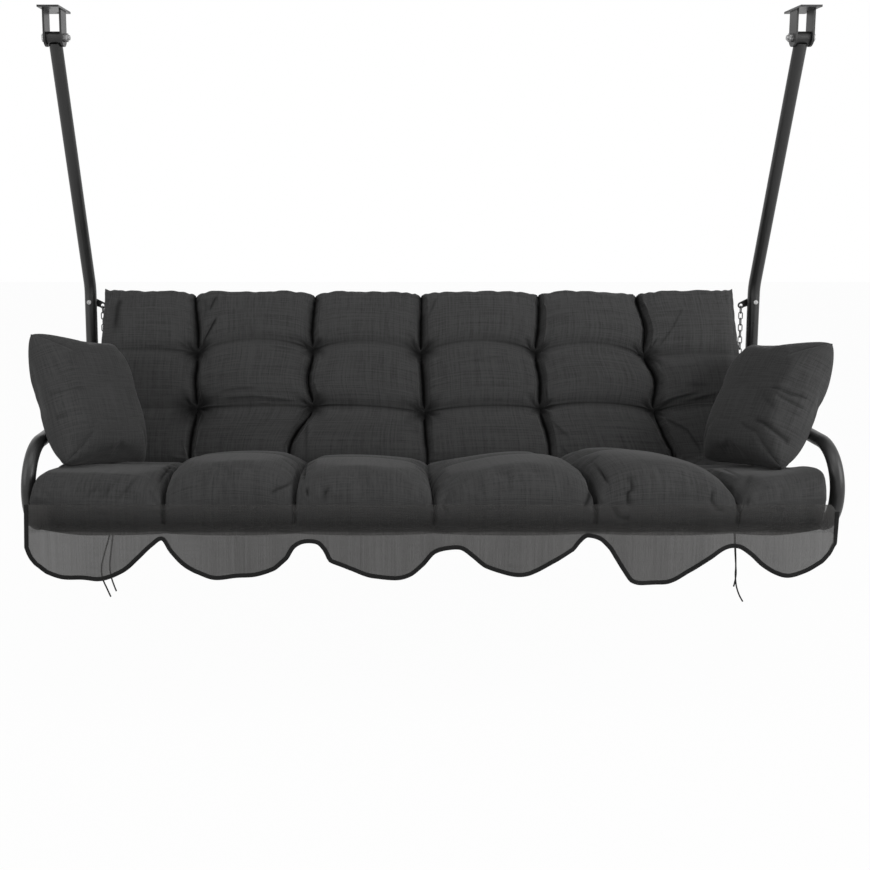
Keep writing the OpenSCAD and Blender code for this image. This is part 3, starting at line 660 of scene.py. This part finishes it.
# How full each bay is at its left and at its right, where its crown leans and how round it is
BAY_HEIGHT = [(0.82, 0.72), (1.20, 1.20), (1.08, 1.00), (0.90, 1.32), (1.50, 1.10), (0.62, 0.66)]
BAY_LEAN = [1, 1.2, 0.85, 1.2, 1, 1]
BAY_ROUND = [0.5, 0.42, 0.42, 0.6, 0.7, 0.4]
# How full the two bays still are where they meet on each seam
SEAM_MEET = [1, 0.8, 0.72, 0.4, 0.78, 0.5, 1]
SEAT_BAY = 0.3
SEAT_END_BAYS = (0.3, 0.2)
SEAT_END_ROUND = 0.012
SEAT_LIP = 0.012
SEAT_LIP_WIDE = 0.006
SEAT_GATHERS = 0.03
SEAT_SEAM_DRAW = 0.05
SEAT_SEAM_SHADE = 0.006
# How squarely the top and the underside turn to the seam, at the front and at the rear
TOP_ROUND = (11, 3.6)
UNDER_ROUND = (12, 7)
# The top falls off towards the rear, from this far back
REAR_FALL = 0.16
REAR_FALL_FROM = 0.06
SEAT_ROW_AT = 0.1
SEAT_ROW_DIP = 0.24
SEAT_ROW_WIDE = 0.13
SEAT_FOLD = 0.006
# Folds on the seat's front, in mm across the seat and above its seam: points, strength, half width; the
# strength sets both depth and painted shade
SEAT_FOLDS = [
    ([(-616, 36), (-608, 67), (-597, 80)], 0.7, 5), ([(-312, 40), (-347, 28), (-360, 20)], 0.5, 5),
    ([(-296, 66), (-289, 44)], 0.9, 4), ([(-283, 30), (-280, 12)], 0.8, 4), ([(-244, 30), (-240, 0)], 0.5, 6),
    ([(-244, 10), (-235, 32)], 0.7, 4), ([(18, -4), (28, -26)], 0.6, 5),
    ([(353, 38), (344, 10), (330, -16)], 0.7, 8),
    ([(372, 70), (386, 40)], 0.9, 4), ([(430, 60), (437, 28), (426, 20), (430, -12)], 0.7, 5),
    ([(391, -8), (407, -32), (435, -40)], 0.6, 7), ([(617, 28), (612, 4), (624, -16), (641, -18)], 0.6, 5),
    ([(648, 76), (672, 58)], 0.8, 4), ([(677, 66), (697, 46)], 0.7, 4), ([(748, -12), (768, -20)], 0.3, 7),
    ([(-740, 40), (-775, 6)], 0.25, 6), ([(-700, 52), (-742, 0)], 0.25, 6), ([(-660, 54), (-700, 4)], 0.3, 6),
    ([(-860, -30), (-845, -48)], 0.4, 7),
]


def front_dip(bay, s):
    """How far the front seam is pulled down between two bays."""
    return 0.0 if outer(bay, s) else FRONT_DIP * (1 - crown(s, 0.4))


def seat_x(k, t):
    return mix(FRONT_SEAMS[k], REAR_SEAMS[k], (t + 1) / 2)


def seat_seams_at(at):
    t = (at.y - SEAT_MID) / (SEAT_DEPTH / 2)
    return [seat_x(k, t) for k in range(BAYS + 1)]


def seat_place(u, v, top):
    """A point of the seat cushion's cover, u from left to right and v from front to rear."""
    bay, s = even_bays(u)
    t = bunched(v)
    if t < -0.5:
        t = -0.5 - 0.5 * ((-0.5 - t) / 0.5) ** 0.8
    free = outer(bay, s)
    x = mix(seat_x(bay, t), seat_x(bay + 1, t), s)
    if bay == BAYS - 1:
        x += RIGHT_SWELL * s * s * smooth(-1, -0.85, t) * (1 - smooth(0.2, 1, t))
    y = SEAT_MID + SEAT_DEPTH / 2 * t * (1 - SEAT_SEAM_DRAW * (1 - crown(s, 0.45)))
    end = end_gap(bay, s, SEAT_END_BAYS)
    dip = front_dip(bay, s) * (1 - smooth(-1, -0.35, t))
    away = 1.0 if free else min(s, 1 - s) * SEAT_BAY
    if top:
        full = math.sqrt(max(0.0, 1 - abs(t) ** TOP_ROUND[t > 0]))
        across = 1.0 if free else crown(s ** BAY_LEAN[bay], BAY_ROUND[bay])
        meet = SEAM_MEET[bay if s < 0.5 else bay + 1]
        low = mix(mix(0.7 * meet, meet, smooth(-0.95, -0.6, t)), 0.76, smooth(0.2, 0.6, t))
        corner = (s if bay == BAYS - 1 else 0.0) ** 3 * (1 - smooth(-0.7, -0.1, t))
        stuffed = mix(*BAY_HEIGHT[bay], s) + 0.4 * corner
        row = 1 - SEAT_ROW_DIP * math.exp(-(abs(t - SEAT_ROW_AT) / SEAT_ROW_WIDE) ** 1.3)
        groove = mix(1, slit(away, SLIT_WIDE), mix(0.85, 0, smooth(-0.2, 0.4, t)))
        high = (SEAT_CROWN - SEAM_UP - SEAT_ROOM) * mix(low, stuffed, across) * row * groove
        z = SEAT_PLANE - dip + high * full * end_round(end, SEAT_END_ROUND)
        fall = REAR_FALL * max(0.0, y - REAR_FALL_FROM) * full
        y -= SEAT_LIP * math.sin(math.pi * min(1.0, (1 + t) / 0.5)) * across * slit(away, SEAT_LIP_WIDE)
        if not free:
            z += full * gathers(y, away, SEAT_GATHERS, bay + (s > 0.5))
    else:
        full = math.sqrt(max(0.0, 1 - abs(t) ** UNDER_ROUND[t > 0]))
        sag = FRONT_SAG * (1 - smooth(-0.86, -0.56, t)) * mix(0.75, 1, smooth(0, 0.12, end))
        down = (SEAM_UP - 0.001 - dip) * mix(0.8, 1, crown(s, 0.4)) + sag
        z = SEAT_PLANE - dip - down * full * end_round(end, SEAT_END_ROUND)
        fall = 0
    return DECK @ Vector((x, y, z - (y - front_rail.y) * deck_fall - fall))


def seat_pin(u, v, top):
    """How fast a point is held: the underside, the rim and the seams wholly, the row between less."""
    if not top:
        return 1.0
    along = u * BAYS
    off = abs(along - round(along))
    if v < 1e-6 or v > 1 - 1e-6 or off < 1e-6:
        return 1.0
    line = math.exp(-((bunched(v) - SEAT_ROW_AT) / 0.03) ** 2)
    return line * mix(0.10, 1.0, math.exp(-(off / 0.07) ** 2))


def seat_folds(at, normal):
    """Depth in metres of the seat's folds at a point, in the deck's frame, and the darkness of the shade
    painted into them and along the seams.
    """
    if normal.z < -0.3 and at.z < SEAT_FLOOR + 0.02:
        return 0.0, 0.0
    t = (at.y - SEAT_MID) / (SEAT_DEPTH / 2)
    near = min(abs(at.x - seat_x(k, t)) for k in range(1, BAYS))
    # Painted shade along the seams, fainter towards the rear
    dark = math.exp(-(near / SEAT_SEAM_SHADE) ** 4) * (1 - 0.6 * smooth(-0.3, 0.5, t))
    deep = 0.0
    if t < -0.2:
        up = at.z + (at.y - front_rail.y) * deck_fall - SEAT_PLANE
        press, black = along_folds(SEAT_FOLDS, at.x * 1000, up * 1000)
        deep = SEAT_FOLD * press
        dark = max(dark, black)
    return deep, dark


seat_cushion = two_sheets("soft_seat_cushion", BAYS * BAY_CELLS, SEAT_CELLS,
                          seat_place, seat_pin, cushion_cloth)

# Back cushion: six columns by three rows

ROWS = 3
BACK_BAY = 0.29
BACK_END_BAYS = (0.265, 0.256)
BACK_END_ROUND = 0.055
BACK_GATHERS = 0.026
BACK_SEAM_SHADE = 0.0055
# How squarely the front turns to the seam, at the foot and at the top
BACK_ROUND = (3.4, 6)
# The top edge: above the seam's height, down at each seam, wavy, and up at the two corners
TOP_UP = 0.004
TOP_SEAM_DIP = 0.016
TOP_WAVE = 0.0013
CORNER_UP = 0.008
CORNER_WIDE = 0.02
# The creases between the rows, where soft and what a sharp one adds
ROW_DIP = 0.12
ROW_DIP_SHARP = 0.16
ROW_WIDE = 0.017
# The tufts, and the star of small folds round each
TUFT_DIP = 0.35
TUFT_WIDE = 0.020
STAR_FOLDS = 7
STAR_HIGH = 0.09
STAR_REACH = 0.030
# Depth of the folds on the back and on the pillows, and how far behind its seam the back still has them
CUSHION_FOLD = 0.005
BACK_FOLDS_END = 0.004
BACK_SEAMS = [-0.871, -0.606, -0.299, -0.003, 0.301, 0.594, 0.850]
# How far each seam strays to the right, in mm, at these heights up the back
STRAY_AT = [90, 140, 212, 290, 363, 430, 512]
STRAY = [(0, 0, 0, 0, 0, 0, 0), (-11, -8, 3, -4, 0, -3, -13), (-59, -45, 4, -11, 2, -1, 5),
         (11, 6, 3, 1, -4, -3, -2), (29, 25, 7, 10, 0, 10, 15), (60, 38, 14, 25, -2, 6, -10),
         (0, 0, 0, 0, 0, 0, 0)]
# Height of the tufts on each seam, and how far the crease between two tufts rises in each bay, in mm
TUFTS = [(214, 214, 220, 202, 213, 206, 225), (366, 363, 371, 360, 363, 352, 358)]
ROW_ARCH = [(0, 3, 8, 12, 18, 12), (8, 32, 28, 35, 32, 5)]
# How far the painted shade reaches round each tuft; the outermost seams have none
TUFT_SHADE = [(0, 0.048, 0.034, 0.038, 0.026, 0.030, 0), (0, 0.034, 0.030, 0.036, 0.027, 0.030, 0)]
# How sharp that crease is at the left of each bay, at its right and between
ROW_SHARP = [[(0, 0.3, 0.2), (1, 0.3, 0.35), (0.8, 0.5, 0.5),
              (0.8, 0.6, 0.45), (0.6, 0.8, 0.5), (0.9, 0.1, 0.3)],
             [(0.1, 0.6, 0.3), (0.5, 0.9, 0.15), (1, 0.5, 0.1),
              (0.5, 1, 0.25), (0.5, 1, 0.15), (0.7, 0.1, 0.1)]]
# Folds on the back's front, in mm across and up: points, strength, half width; the strength sets both depth
# and painted shade
BACK_FOLDS = [
    ([(-558, 520), (-566, 500), (-574, 480)], 0.8, 5), ([(-554, 458), (-568, 429), (-592, 384)], 1, 5),
    ([(-596, 520), (-585, 490), (-590, 450)], 0.3, 8),
    ([(-545, 255), (-492, 264), (-443, 266)], 0.4, 5), ([(-532, 239), (-451, 243), (-331, 231)], 0.5, 5),
    ([(-446, 225), (-398, 225)], 0.4, 4), ([(-411, 379), (-331, 368)], 0.4, 5),
    ([(-307, 196), (-310, 88)], 0.5, 5), ([(333, 182), (381, 133)], 0.4, 5),
    ([(357, 114), (381, 88)], 0.4, 5),
    ([(627, 376), (664, 425), (699, 484)], 0.4, 4), ([(600, 366), (627, 403)], 0.6, 5),
    ([(619, 223), (654, 239), (718, 255)], 0.7, 4), ([(686, 231), (771, 252)], 0.6, 5),
    ([(619, 206), (713, 220), (771, 220)], 0.6, 4), ([(627, 190), (686, 155), (718, 106)], 0.6, 5),
    ([(324, 277), (327, 231)], 0.6, 4), ([(124, 341), (217, 352)], 0.2, 5),
    ([(686, 277), (753, 274)], 0.35, 6),
    ([(-746, 379), (-692, 382)], 0.35, 5), ([(-692, 368), (-633, 368)], 0.4, 4),
    ([(-657, 393), (-620, 371)], 0.5, 5), ([(-815, 510), (-821, 486), (-824, 420)], 0.7, 11),
    ([(40, 520), (13, 457)], 0.4, 5), ([(-300, 520), (-288, 500)], 0.7, 4),
    ([(310, 516), (318, 490)], 0.6, 5),
]


def back_seam(k, z):
    return BACK_SEAMS[k] + through(STRAY_AT, STRAY[k], z * 1000) / 1000


def back_seams_at(at):
    return [back_seam(k, at.z) for k in range(BAYS + 1)]


def row_height(row, bay, s):
    return (mix(TUFTS[row][bay], TUFTS[row][bay + 1], s) + ROW_ARCH[row][bay] * crown(s, 0.8)) / 1000


def row_sharp(row, bay, s):
    left, right, between = ROW_SHARP[row][bay]
    return min(1.0, between + left * math.exp(-s / 0.22) + right * math.exp(-(1 - s) / 0.22))


def back_height(v, bay, s):
    """Height of v on the cover, bent so that the creases between rows rise in the middle of a bay."""
    dip = 1 - crown(s, 0.3)
    x = mix(BACK_SEAMS[bay], BACK_SEAMS[bay + 1], s)
    wave = TOP_WAVE * math.sin(190 * x + 3 * math.sin(31 * x))
    top = BACK_HIGH + TOP_UP - (0 if outer(bay, s) else TOP_SEAM_DIP * dip) + wave
    marks = [BACK_LOW, row_height(0, bay, s), row_height(1, bay, s), top]
    along = min(v * ROWS, ROWS - 1e-9)
    row = int(along)
    q = along - row
    return mix(marks[row], marks[row + 1], q - 0.30 * math.sin(2 * math.pi * q) / (2 * math.pi))


def back_place(u, v, front):
    """A point of the back cushion's cover, u from left to right and v from foot to top."""
    bay, s = even_bays(u)
    z = back_height(v, bay, s)
    x = mix(back_seam(bay, z), back_seam(bay + 1, z), s)
    end = end_gap(bay, s, BACK_END_BAYS)
    if v > 0.5:
        z += CORNER_UP * math.exp(-end / CORNER_WIDE)
    free = outer(bay, s)
    away = 1.0 if free else min(s, 1 - s) * BACK_BAY
    w = 2 * v - 1
    edge = max(0.0, 1 - abs(w) ** BACK_ROUND[w >= 0]) ** 0.5
    if front:
        high = mix(0.42, 1, 1.0 if free else crown(s, 0.28)) * mix(1, slit(away, SLIT_WIDE), 0.8)
        for row in (0, 1):
            rise = abs(z - row_height(row, bay, s))
            sharp = row_sharp(row, bay, s)
            high *= 1 - (ROW_DIP + ROW_DIP_SHARP * sharp) * math.exp(-(rise / ROW_WIDE) ** 1.2)
            far = math.hypot(away, rise)
            high *= 1 - TUFT_DIP * math.exp(-(far / TUFT_WIDE) ** 2)
            star = math.sin(STAR_FOLDS * math.atan2(rise, away) + bay * 2 + row)
            high += STAR_HIGH * math.exp(-far / STAR_REACH) * star * smooth(0, 0.012, far)
        deep = (BACK_CROWN / 2 - BACK_ROOM) * high * edge * end_round(end, BACK_END_ROUND)
        if not free:
            deep += edge * gathers(z, away, BACK_GATHERS, bay + 3 * (s > 0.5))
        y = BACK_PLANE - deep
    else:
        full = min(1.0, edge * 1.25) * end_round(end, BACK_END_ROUND) * mix(0.8, 1, crown(s, 0.26))
        y = BACK_PLANE + (BACK_CROWN / 2 - BACK_ROOM) * full
    return BACK @ Vector((x, y, z))


def back_pin(u, v, front):
    """How fast a point is held: the rear, the foot and the seams wholly, the tufts too, the rest less."""
    along = u * BAYS
    off = abs(along - round(along))
    end = u < 1e-6 or u > 1 - 1e-6
    if not front or v < 1e-6 or (off < 1e-6 and not end):
        return 1.0
    if v > 1 - 1e-6 or end:
        return 0.5
    pin = 0.0
    for mark in (1 / ROWS, 2 / ROWS):
        line = math.exp(-((v - mark) / 0.008) ** 2)
        pin = max(pin, line * mix(0.15, 1.0, math.exp(-(off / 0.06) ** 2)))
    return pin


def back_folds(at, normal):
    """Depth in metres of the back's folds at a point, in the back's frame, and the darkness of the shade
    painted into its seams, row creases, tufts and folds.
    """
    if at.y > BACK_PLANE + BACK_FOLDS_END:
        return 0.0, 0.0
    seams = back_seams_at(at)
    bay = max([k for k in range(BAYS) if seams[k] <= at.x], default=0)
    s = min(1.0, max(0.0, (at.x - seams[bay]) / (seams[bay + 1] - seams[bay])))
    near = min(abs(at.x - x) for x in seams[1:-1])
    tuft = min(range(1, BAYS), key=lambda k: abs(at.x - seams[k]))
    # Painted shade: along the seams here, then in the row creases and round the tufts
    dark = max(math.exp(-(near / BACK_SEAM_SHADE) ** 4), 0.3 * math.exp(-(near / 0.013) ** 2))
    deep = 0.0
    for row in (0, 1):
        rise = abs(at.z - row_height(row, bay, s))
        sharp = row_sharp(row, bay, s)
        line = sharp * math.exp(-(rise / 0.005) ** 2)
        far = math.hypot(near, 1.3 * rise)
        deep = max(deep, line, 1.4 * math.exp(-(far / 0.015) ** 2))
        dark = max(dark, line, 0.4 * sharp * math.exp(-(rise / 0.013) ** 2),
                   0.98 * math.exp(-(far / TUFT_SHADE[row][tuft]) ** 2.2))
    press, black = along_folds(BACK_FOLDS, at.x * 1000, at.z * 1000)
    return CUSHION_FOLD * max(deep, press), max(dark, black * 0.9)


back_cushion = two_sheets("soft_back_cushion", BAYS * BAY_CELLS, BACK_CELLS,
                          back_place, back_pin, cushion_cloth)

# Scatter pillows

PILLOW = 0.336
PILLOW_THICK = 0.116
# Sides drawn in between the corners, the lower half longer, and how square corners and rim are
PILLOW_PULL = 0.03
PILLOW_SAG = 1.06
PILLOW_CORNER = 14
PILLOW_RIM = 3.6
PILLOW_FOLDS_END = -0.004
# Folds on a pillow's front, in mm across and up: points, strength, half width; the strength sets both depth
# and painted shade
LEFT_FOLDS = [([(-164, 12), (-148, 2), (-92, -4)], 0.5, 5), ([(-166, -50), (-158, -54), (-140, -58)], 0.6, 6)]
RIGHT_FOLDS = [([(84, -76), (110, -80), (134, -90), (152, -100), (162, -118)], 1, 6),
               ([(40, -88), (60, -96), (100, -104)], 0.6, 6),
               ([(96, 8), (114, 8), (134, 4), (150, 10), (164, 8)], 0.7, 5),
               ([(112, -4), (136, -12), (158, -16)], 0.7, 5), ([(76, -12), (100, -26), (128, -44)], 0.4, 9),
               ([(138, -34), (162, -36)], 0.4, 6)]


def pillow_frame(mid, lean, roll, turn):
    """Where a pillow stands: its middle, and its three turns in degrees."""
    return (Matrix.Translation(Vector(mid)) @ Matrix.Rotation(math.radians(turn), 4, "Z")
            @ Matrix.Rotation(math.radians(lean), 4, "X") @ Matrix.Rotation(math.radians(roll), 4, "Y"))


def pillow(name, place):
    half = PILLOW / 2

    def point(u, v, front):
        a, b = mix(2 * u - 1, bunched(u), 0.5), mix(2 * v - 1, bunched(v), 0.5)
        square = max(abs(a), abs(b))
        round_square = (abs(a) ** PILLOW_CORNER + abs(b) ** PILLOW_CORNER) ** (1 / PILLOW_CORNER)
        turned = square / max(1e-6, round_square)
        thick = (max(0.0, 1 - abs(a) ** PILLOW_RIM) * max(0.0, 1 - abs(b) ** PILLOW_RIM)) ** 0.5
        wide = 1 - PILLOW_PULL * (1 - b * b)
        tall = 1 - PILLOW_PULL * (1 - a * a) if b > 0 else PILLOW_SAG
        side = -1 if front else 1
        return place @ Vector((turned * half * a * wide, side * 0.50 * PILLOW_THICK * thick,
                               turned * half * b * tall))

    def pin(u, v, front):
        return 0.6 if abs((2 * u - 1) * (2 * v - 1)) > 0.97 else 0.0

    return two_sheets(name, PILLOW_CELLS, PILLOW_CELLS, point, pin,
                      lambda u, v: (u * PILLOW_CLOTH, v * PILLOW_CLOTH))


def pillow_folds(folds):
    """Depth and painted shade of these folds on a pillow, as a function of the point in its frame."""
    def depth_at(at, normal):
        if at.y > PILLOW_FOLDS_END:
            return 0.0, 0.0
        press, black = along_folds(folds, at.x * 1000, at.z * 1000)
        return CUSHION_FOLD * press, 0.6 * black

    return depth_at


LEFT_AT = pillow_frame((-0.829, -0.114, -0.947), -25, 14, 73)
RIGHT_AT = pillow_frame((0.828, -0.110, -0.955), -29, -11, -80)
pillow_left = pillow("soft_pillow_left", LEFT_AT)
pillow_right = pillow("soft_pillow_right", RIGHT_AT)

# Each cover's pressure, how far it may swell, and what keeps it from crossing its seams
stuff({
    seat_cushion: (5.0, 0.008, between_seams(DECK, seat_seams_at)),
    back_cushion: (5.0, 0.009, between_seams(BACK, back_seams_at)),
    pillow_left: (6.0, 0.012, None),
    pillow_right: (6.0, 0.012, None),
})

for cushion, body, node, fill, place, folds in (
        (seat_cushion, "swing", "seat_cushion", 0.7, DECK, seat_folds),
        (back_cushion, "backrest", "back_cushion", 0.7, BACK, back_folds),
        (pillow_left, "left_pillow", "pillow_left", 0.6, LEFT_AT, pillow_folds(LEFT_FOLDS)),
        (pillow_right, "right_pillow", "pillow_right", 0.6, RIGHT_AT, pillow_folds(RIGHT_FOLDS))):
    refine(cushion, place, folds)
    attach(cushion, body)
    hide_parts(node)

# ---- Valance ----

# The hem, left to right: place across the seat, and depth below the seam
HEM = [(-896, 95), (-890, 115), (-879, 133), (-856, 155), (-825, 166), (-785, 169), (-744, 169), (-708, 160),
       (-681, 146), (-653, 120), (-626, 95), (-600, 80),
       (-582, 105), (-553, 134), (-529, 151), (-489, 165), (-445, 166), (-396, 160), (-354, 146),
       (-325, 119), (-312, 96), (-296, 86), (-275, 85),
       (-254, 90), (-240, 106), (-230, 128), (-190, 145), (-126, 163), (-85, 169), (-51, 160), (-24, 138),
       (-2, 110), (23, 98),
       (58, 98), (82, 114), (113, 140), (150, 156), (186, 160), (221, 152), (267, 125), (307, 104), (325, 82),
       (338, 72), (366, 78), (389, 100), (405, 126), (420, 150), (434, 170), (455, 178), (490, 180),
       (524, 175), (568, 150), (610, 116), (641, 98),
       (672, 96), (700, 114), (728, 140), (756, 156), (783, 160), (821, 150), (855, 128), (872, 110),
       (884, 90)]
HEM_AT = [x for x, depth in HEM]
HEM_DEEP = [depth for x, depth in HEM]
HEM_LEFT, HEM_RIGHT = HEM_AT[0] / 1000, HEM_AT[-1] / 1000
HEM_STEPS = 400
END_STEPS = 18
BINDING_W = 0.010
BINDING_THICK = 0.0028
# How far the cloth hangs in front of the cushion's seam, and how far it starts below it
VALANCE_AHEAD = 0.0125
VALANCE_BELOW = 0.001


def hem_depth(x):
    return through(HEM_AT, HEM_DEEP, x * 1000) / 1000


SEAM_Z = (DECK @ Vector((0, SEAT_FRONT, SEAT_PLANE - (SEAT_FRONT - front_rail.y) * deck_fall))).z
SEAM_Y = (DECK @ Vector((0, SEAT_FRONT, SEAT_PLANE))).y


def hanging(x, t):
    """A point of the valance: t is 0 at the seam and 1 at the hem. Its two waves grow towards the hem."""
    a = math.radians(x * 1000)
    forward = VALANCE_AHEAD + t * (0.001 + 0.005 * math.sin(1.9 * a) + 0.003 * math.sin(4.3 * a))
    top = SEAM_Z - VALANCE_BELOW - 0.016 * smooth(FRONT_SEAMS[-1], HEM_RIGHT, x)
    return Vector((x, SEAM_Y - forward, mix(top, SEAM_Z - hem_depth(x), t)))


def valance_sheet():
    bm = bmesh.new()
    uv = bm.loops.layers.uv.new("cloth")
    wide, deep = VALANCE_CELLS
    made = bmesh.ops.create_grid(bm, x_segments=wide, y_segments=deep, size=1)["verts"]
    at = {v: (mix(HEM_LEFT, HEM_RIGHT, (v.co.x + 1) / 2), (1 - v.co.y) / 2) for v in made}
    for f in bm.faces:
        for loop in f.loops:
            x, t = at[loop.vert]
            loop[uv].uv = (x, t * hem_depth(x))
    for v in made:
        v.co = hanging(*at[v])
    bmesh.ops.recalc_face_normals(bm, faces=bm.faces)
    return piece_from(bm, "soft_valance", VOILE)


def blunt(x):
    """x from -1 to 1, pushed outwards, which makes a round section squarer."""
    return math.copysign(abs(x) ** 0.6, x)


def ribbon(name, centre, wide, thick, finish):
    """A folded tape round an edge: an oval section carried along the line."""
    bm = bmesh.new()
    uv = bm.loops.layers.uv.new("cloth")
    last = len(centre) - 1
    made = bmesh.ops.create_grid(bm, x_segments=last, y_segments=BINDING_CELLS, size=1)["verts"]
    runs = [0.0]
    for a, b in zip(centre, centre[1:]):
        runs.append(runs[-1] + (b - a).length)
    at = {v: (round((v.co.x + 1) / 2 * last), (v.co.y + 1) / 2) for v in made}
    for f in bm.faces:
        for loop in f.loops:
            i, w = at[loop.vert]
            loop[uv].uv = (runs[i], w * 2 * wide)
    for v in made:
        i, w = at[v]
        along = (centre[min(last, i + 1)] - centre[max(0, i - 1)]).normalized()
        out = along.cross(Vector((0, 1, 0))).normalized()
        flat = out.cross(along).normalized()
        a = 2 * math.pi * w
        v.co = centre[i] + out * (wide / 2) * blunt(math.cos(a)) + flat * (thick / 2) * blunt(math.sin(a))
    bmesh.ops.remove_doubles(bm, verts=bm.verts, dist=1e-6)
    bmesh.ops.holes_fill(bm, edges=[e for e in bm.edges if e.is_boundary], sides=0)
    bmesh.ops.recalc_face_normals(bm, faces=bm.faces)
    return piece_from(bm, name, finish)


valance = valance_sheet()
hem_line = ([hanging(HEM_LEFT, k / END_STEPS) for k in range(END_STEPS)]
            + [hanging(mix(HEM_LEFT, HEM_RIGHT, k / HEM_STEPS), 1) for k in range(HEM_STEPS + 1)]
            + [hanging(HEM_RIGHT, k / END_STEPS) for k in reversed(range(END_STEPS))])
binding = ribbon("soft_valance_binding", hem_line, BINDING_W, BINDING_THICK, TAPE)

hem_depths = [hem_depth(mix(HEM_LEFT, HEM_RIGHT, (k + 0.5) / HEM_STEPS)) for k in range(HEM_STEPS)]
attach(valance, "swing")
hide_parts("valance")
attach(binding, "swing")
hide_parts("valance_binding")

# ---- Chains, straps ----


def copy_of(name, new_name, finish):
    """A rounded copy of a node, its loose triangles joined."""
    bm = bmesh.new()
    bm.from_mesh(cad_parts[name].data)
    bmesh.ops.remove_doubles(bm, verts=bm.verts, dist=1e-6)
    return piece_from(bm, new_name, finish)


for side_name in ("left", "right"):
    chain = copy_of("chain_" + side_name, "linked_chain_" + side_name, CHAIN)
    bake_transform(chain)
    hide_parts("chain_" + side_name)

straps = copy_of("back_straps", "soft_back_straps", TAPE)
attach(straps, "backrest")
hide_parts("back_straps")

# ---- Stage and light ----

FLOOR_Z = -1.67
FLOOR_REACH = 12
FLOOR_WHITE = 0.975
SKY_LEVEL = 0.09
LIGHT_AIM = (0, -0.1, -1.0)


def seen_as_white(tree, lit, white, end, most=1.0):
    """Shows white to the eye, in gloss and through glass, and what is lit to every other ray.

    most is the share of white in it, and the rest is lit, which keeps the shadow."""
    path = tree.nodes.new("ShaderNodeLightPath")
    share = path.outputs["Is Camera Ray"]
    for ray in ("Is Glossy Ray", "Is Transmission Ray"):
        either = tree.nodes.new("ShaderNodeMath")
        either.operation = "MAXIMUM"
        tree.links.new(share, either.inputs[0])
        tree.links.new(path.outputs[ray], either.inputs[1])
        share = either.outputs[0]
    if most < 1:
        part = tree.nodes.new("ShaderNodeMath")
        part.operation = "MULTIPLY"
        part.inputs[1].default_value = most
        tree.links.new(share, part.inputs[0])
        share = part.outputs[0]
    blend = tree.nodes.new("ShaderNodeMixShader")
    tree.links.new(share, blend.inputs[0])
    tree.links.new(lit.outputs[0], blend.inputs[1])
    tree.links.new(white.outputs[0], blend.inputs[2])
    tree.links.new(blend.outputs[0], end.inputs["Surface"])


def floor_paint():
    """Pale matt paint that the eye sees as white, and that still takes a shadow."""
    paint = bpy.data.materials.new("floor_paint")
    paint.use_nodes = True
    tree = paint.node_tree
    tree.nodes.clear()
    plain = tree.nodes.new("ShaderNodeBsdfDiffuse")
    plain.inputs["Color"].default_value = (0.9, 0.9, 0.9, 1)
    white = tree.nodes.new("ShaderNodeEmission")
    white.inputs["Color"].default_value = (1, 1, 1, 1)
    seen_as_white(tree, plain, white, tree.nodes.new("ShaderNodeOutputMaterial"), FLOOR_WHITE)
    return paint


def studio_floor():
    bm = bmesh.new()
    bmesh.ops.create_grid(bm, x_segments=1, y_segments=1, size=FLOOR_REACH,
                          matrix=Matrix.Translation((0, 0, FLOOR_Z)))
    return piece_from(bm, "floor", floor_paint(), rounded=False)


def studio_sky():
    """A faint light from all round, white where the eye sees it."""
    world = bpy.data.worlds.new("studio")
    world.use_nodes = True
    tree = world.node_tree
    tree.nodes.clear()
    faint, bright = (tree.nodes.new("ShaderNodeBackground") for k in range(2))
    for light, level in ((faint, SKY_LEVEL), (bright, 1.0)):
        light.inputs["Color"].default_value = (1, 1, 1, 1)
        light.inputs["Strength"].default_value = level
    seen_as_white(tree, faint, bright, tree.nodes.new("ShaderNodeOutputWorld"))
    return world


def lamp(name, at, aim, size, watts):
    light = bpy.data.lights.new(name, "AREA")
    light.shape = "RECTANGLE"
    light.size, light.size_y = size
    light.energy = watts
    piece = bpy.data.objects.new(name, light)
    scene.collection.objects.link(piece)
    piece.location = at
    piece.rotation_euler = (Vector(aim) - Vector(at)).to_track_quat("-Z", "Y").to_euler()


floor = studio_floor()
scene.world = studio_sky()
lamp("left_light", (-2.8, -1.8, 0.2), LIGHT_AIM, (2.0, 2.0), 27)
lamp("right_light", (2.8, -1.8, 0.2), LIGHT_AIM, (2.0, 2.0), 58)
lamp("top_light", (0, -1.6, 2.0), LIGHT_AIM, (3.0, 1.4), 35)

scene.view_settings.view_transform = "Standard"
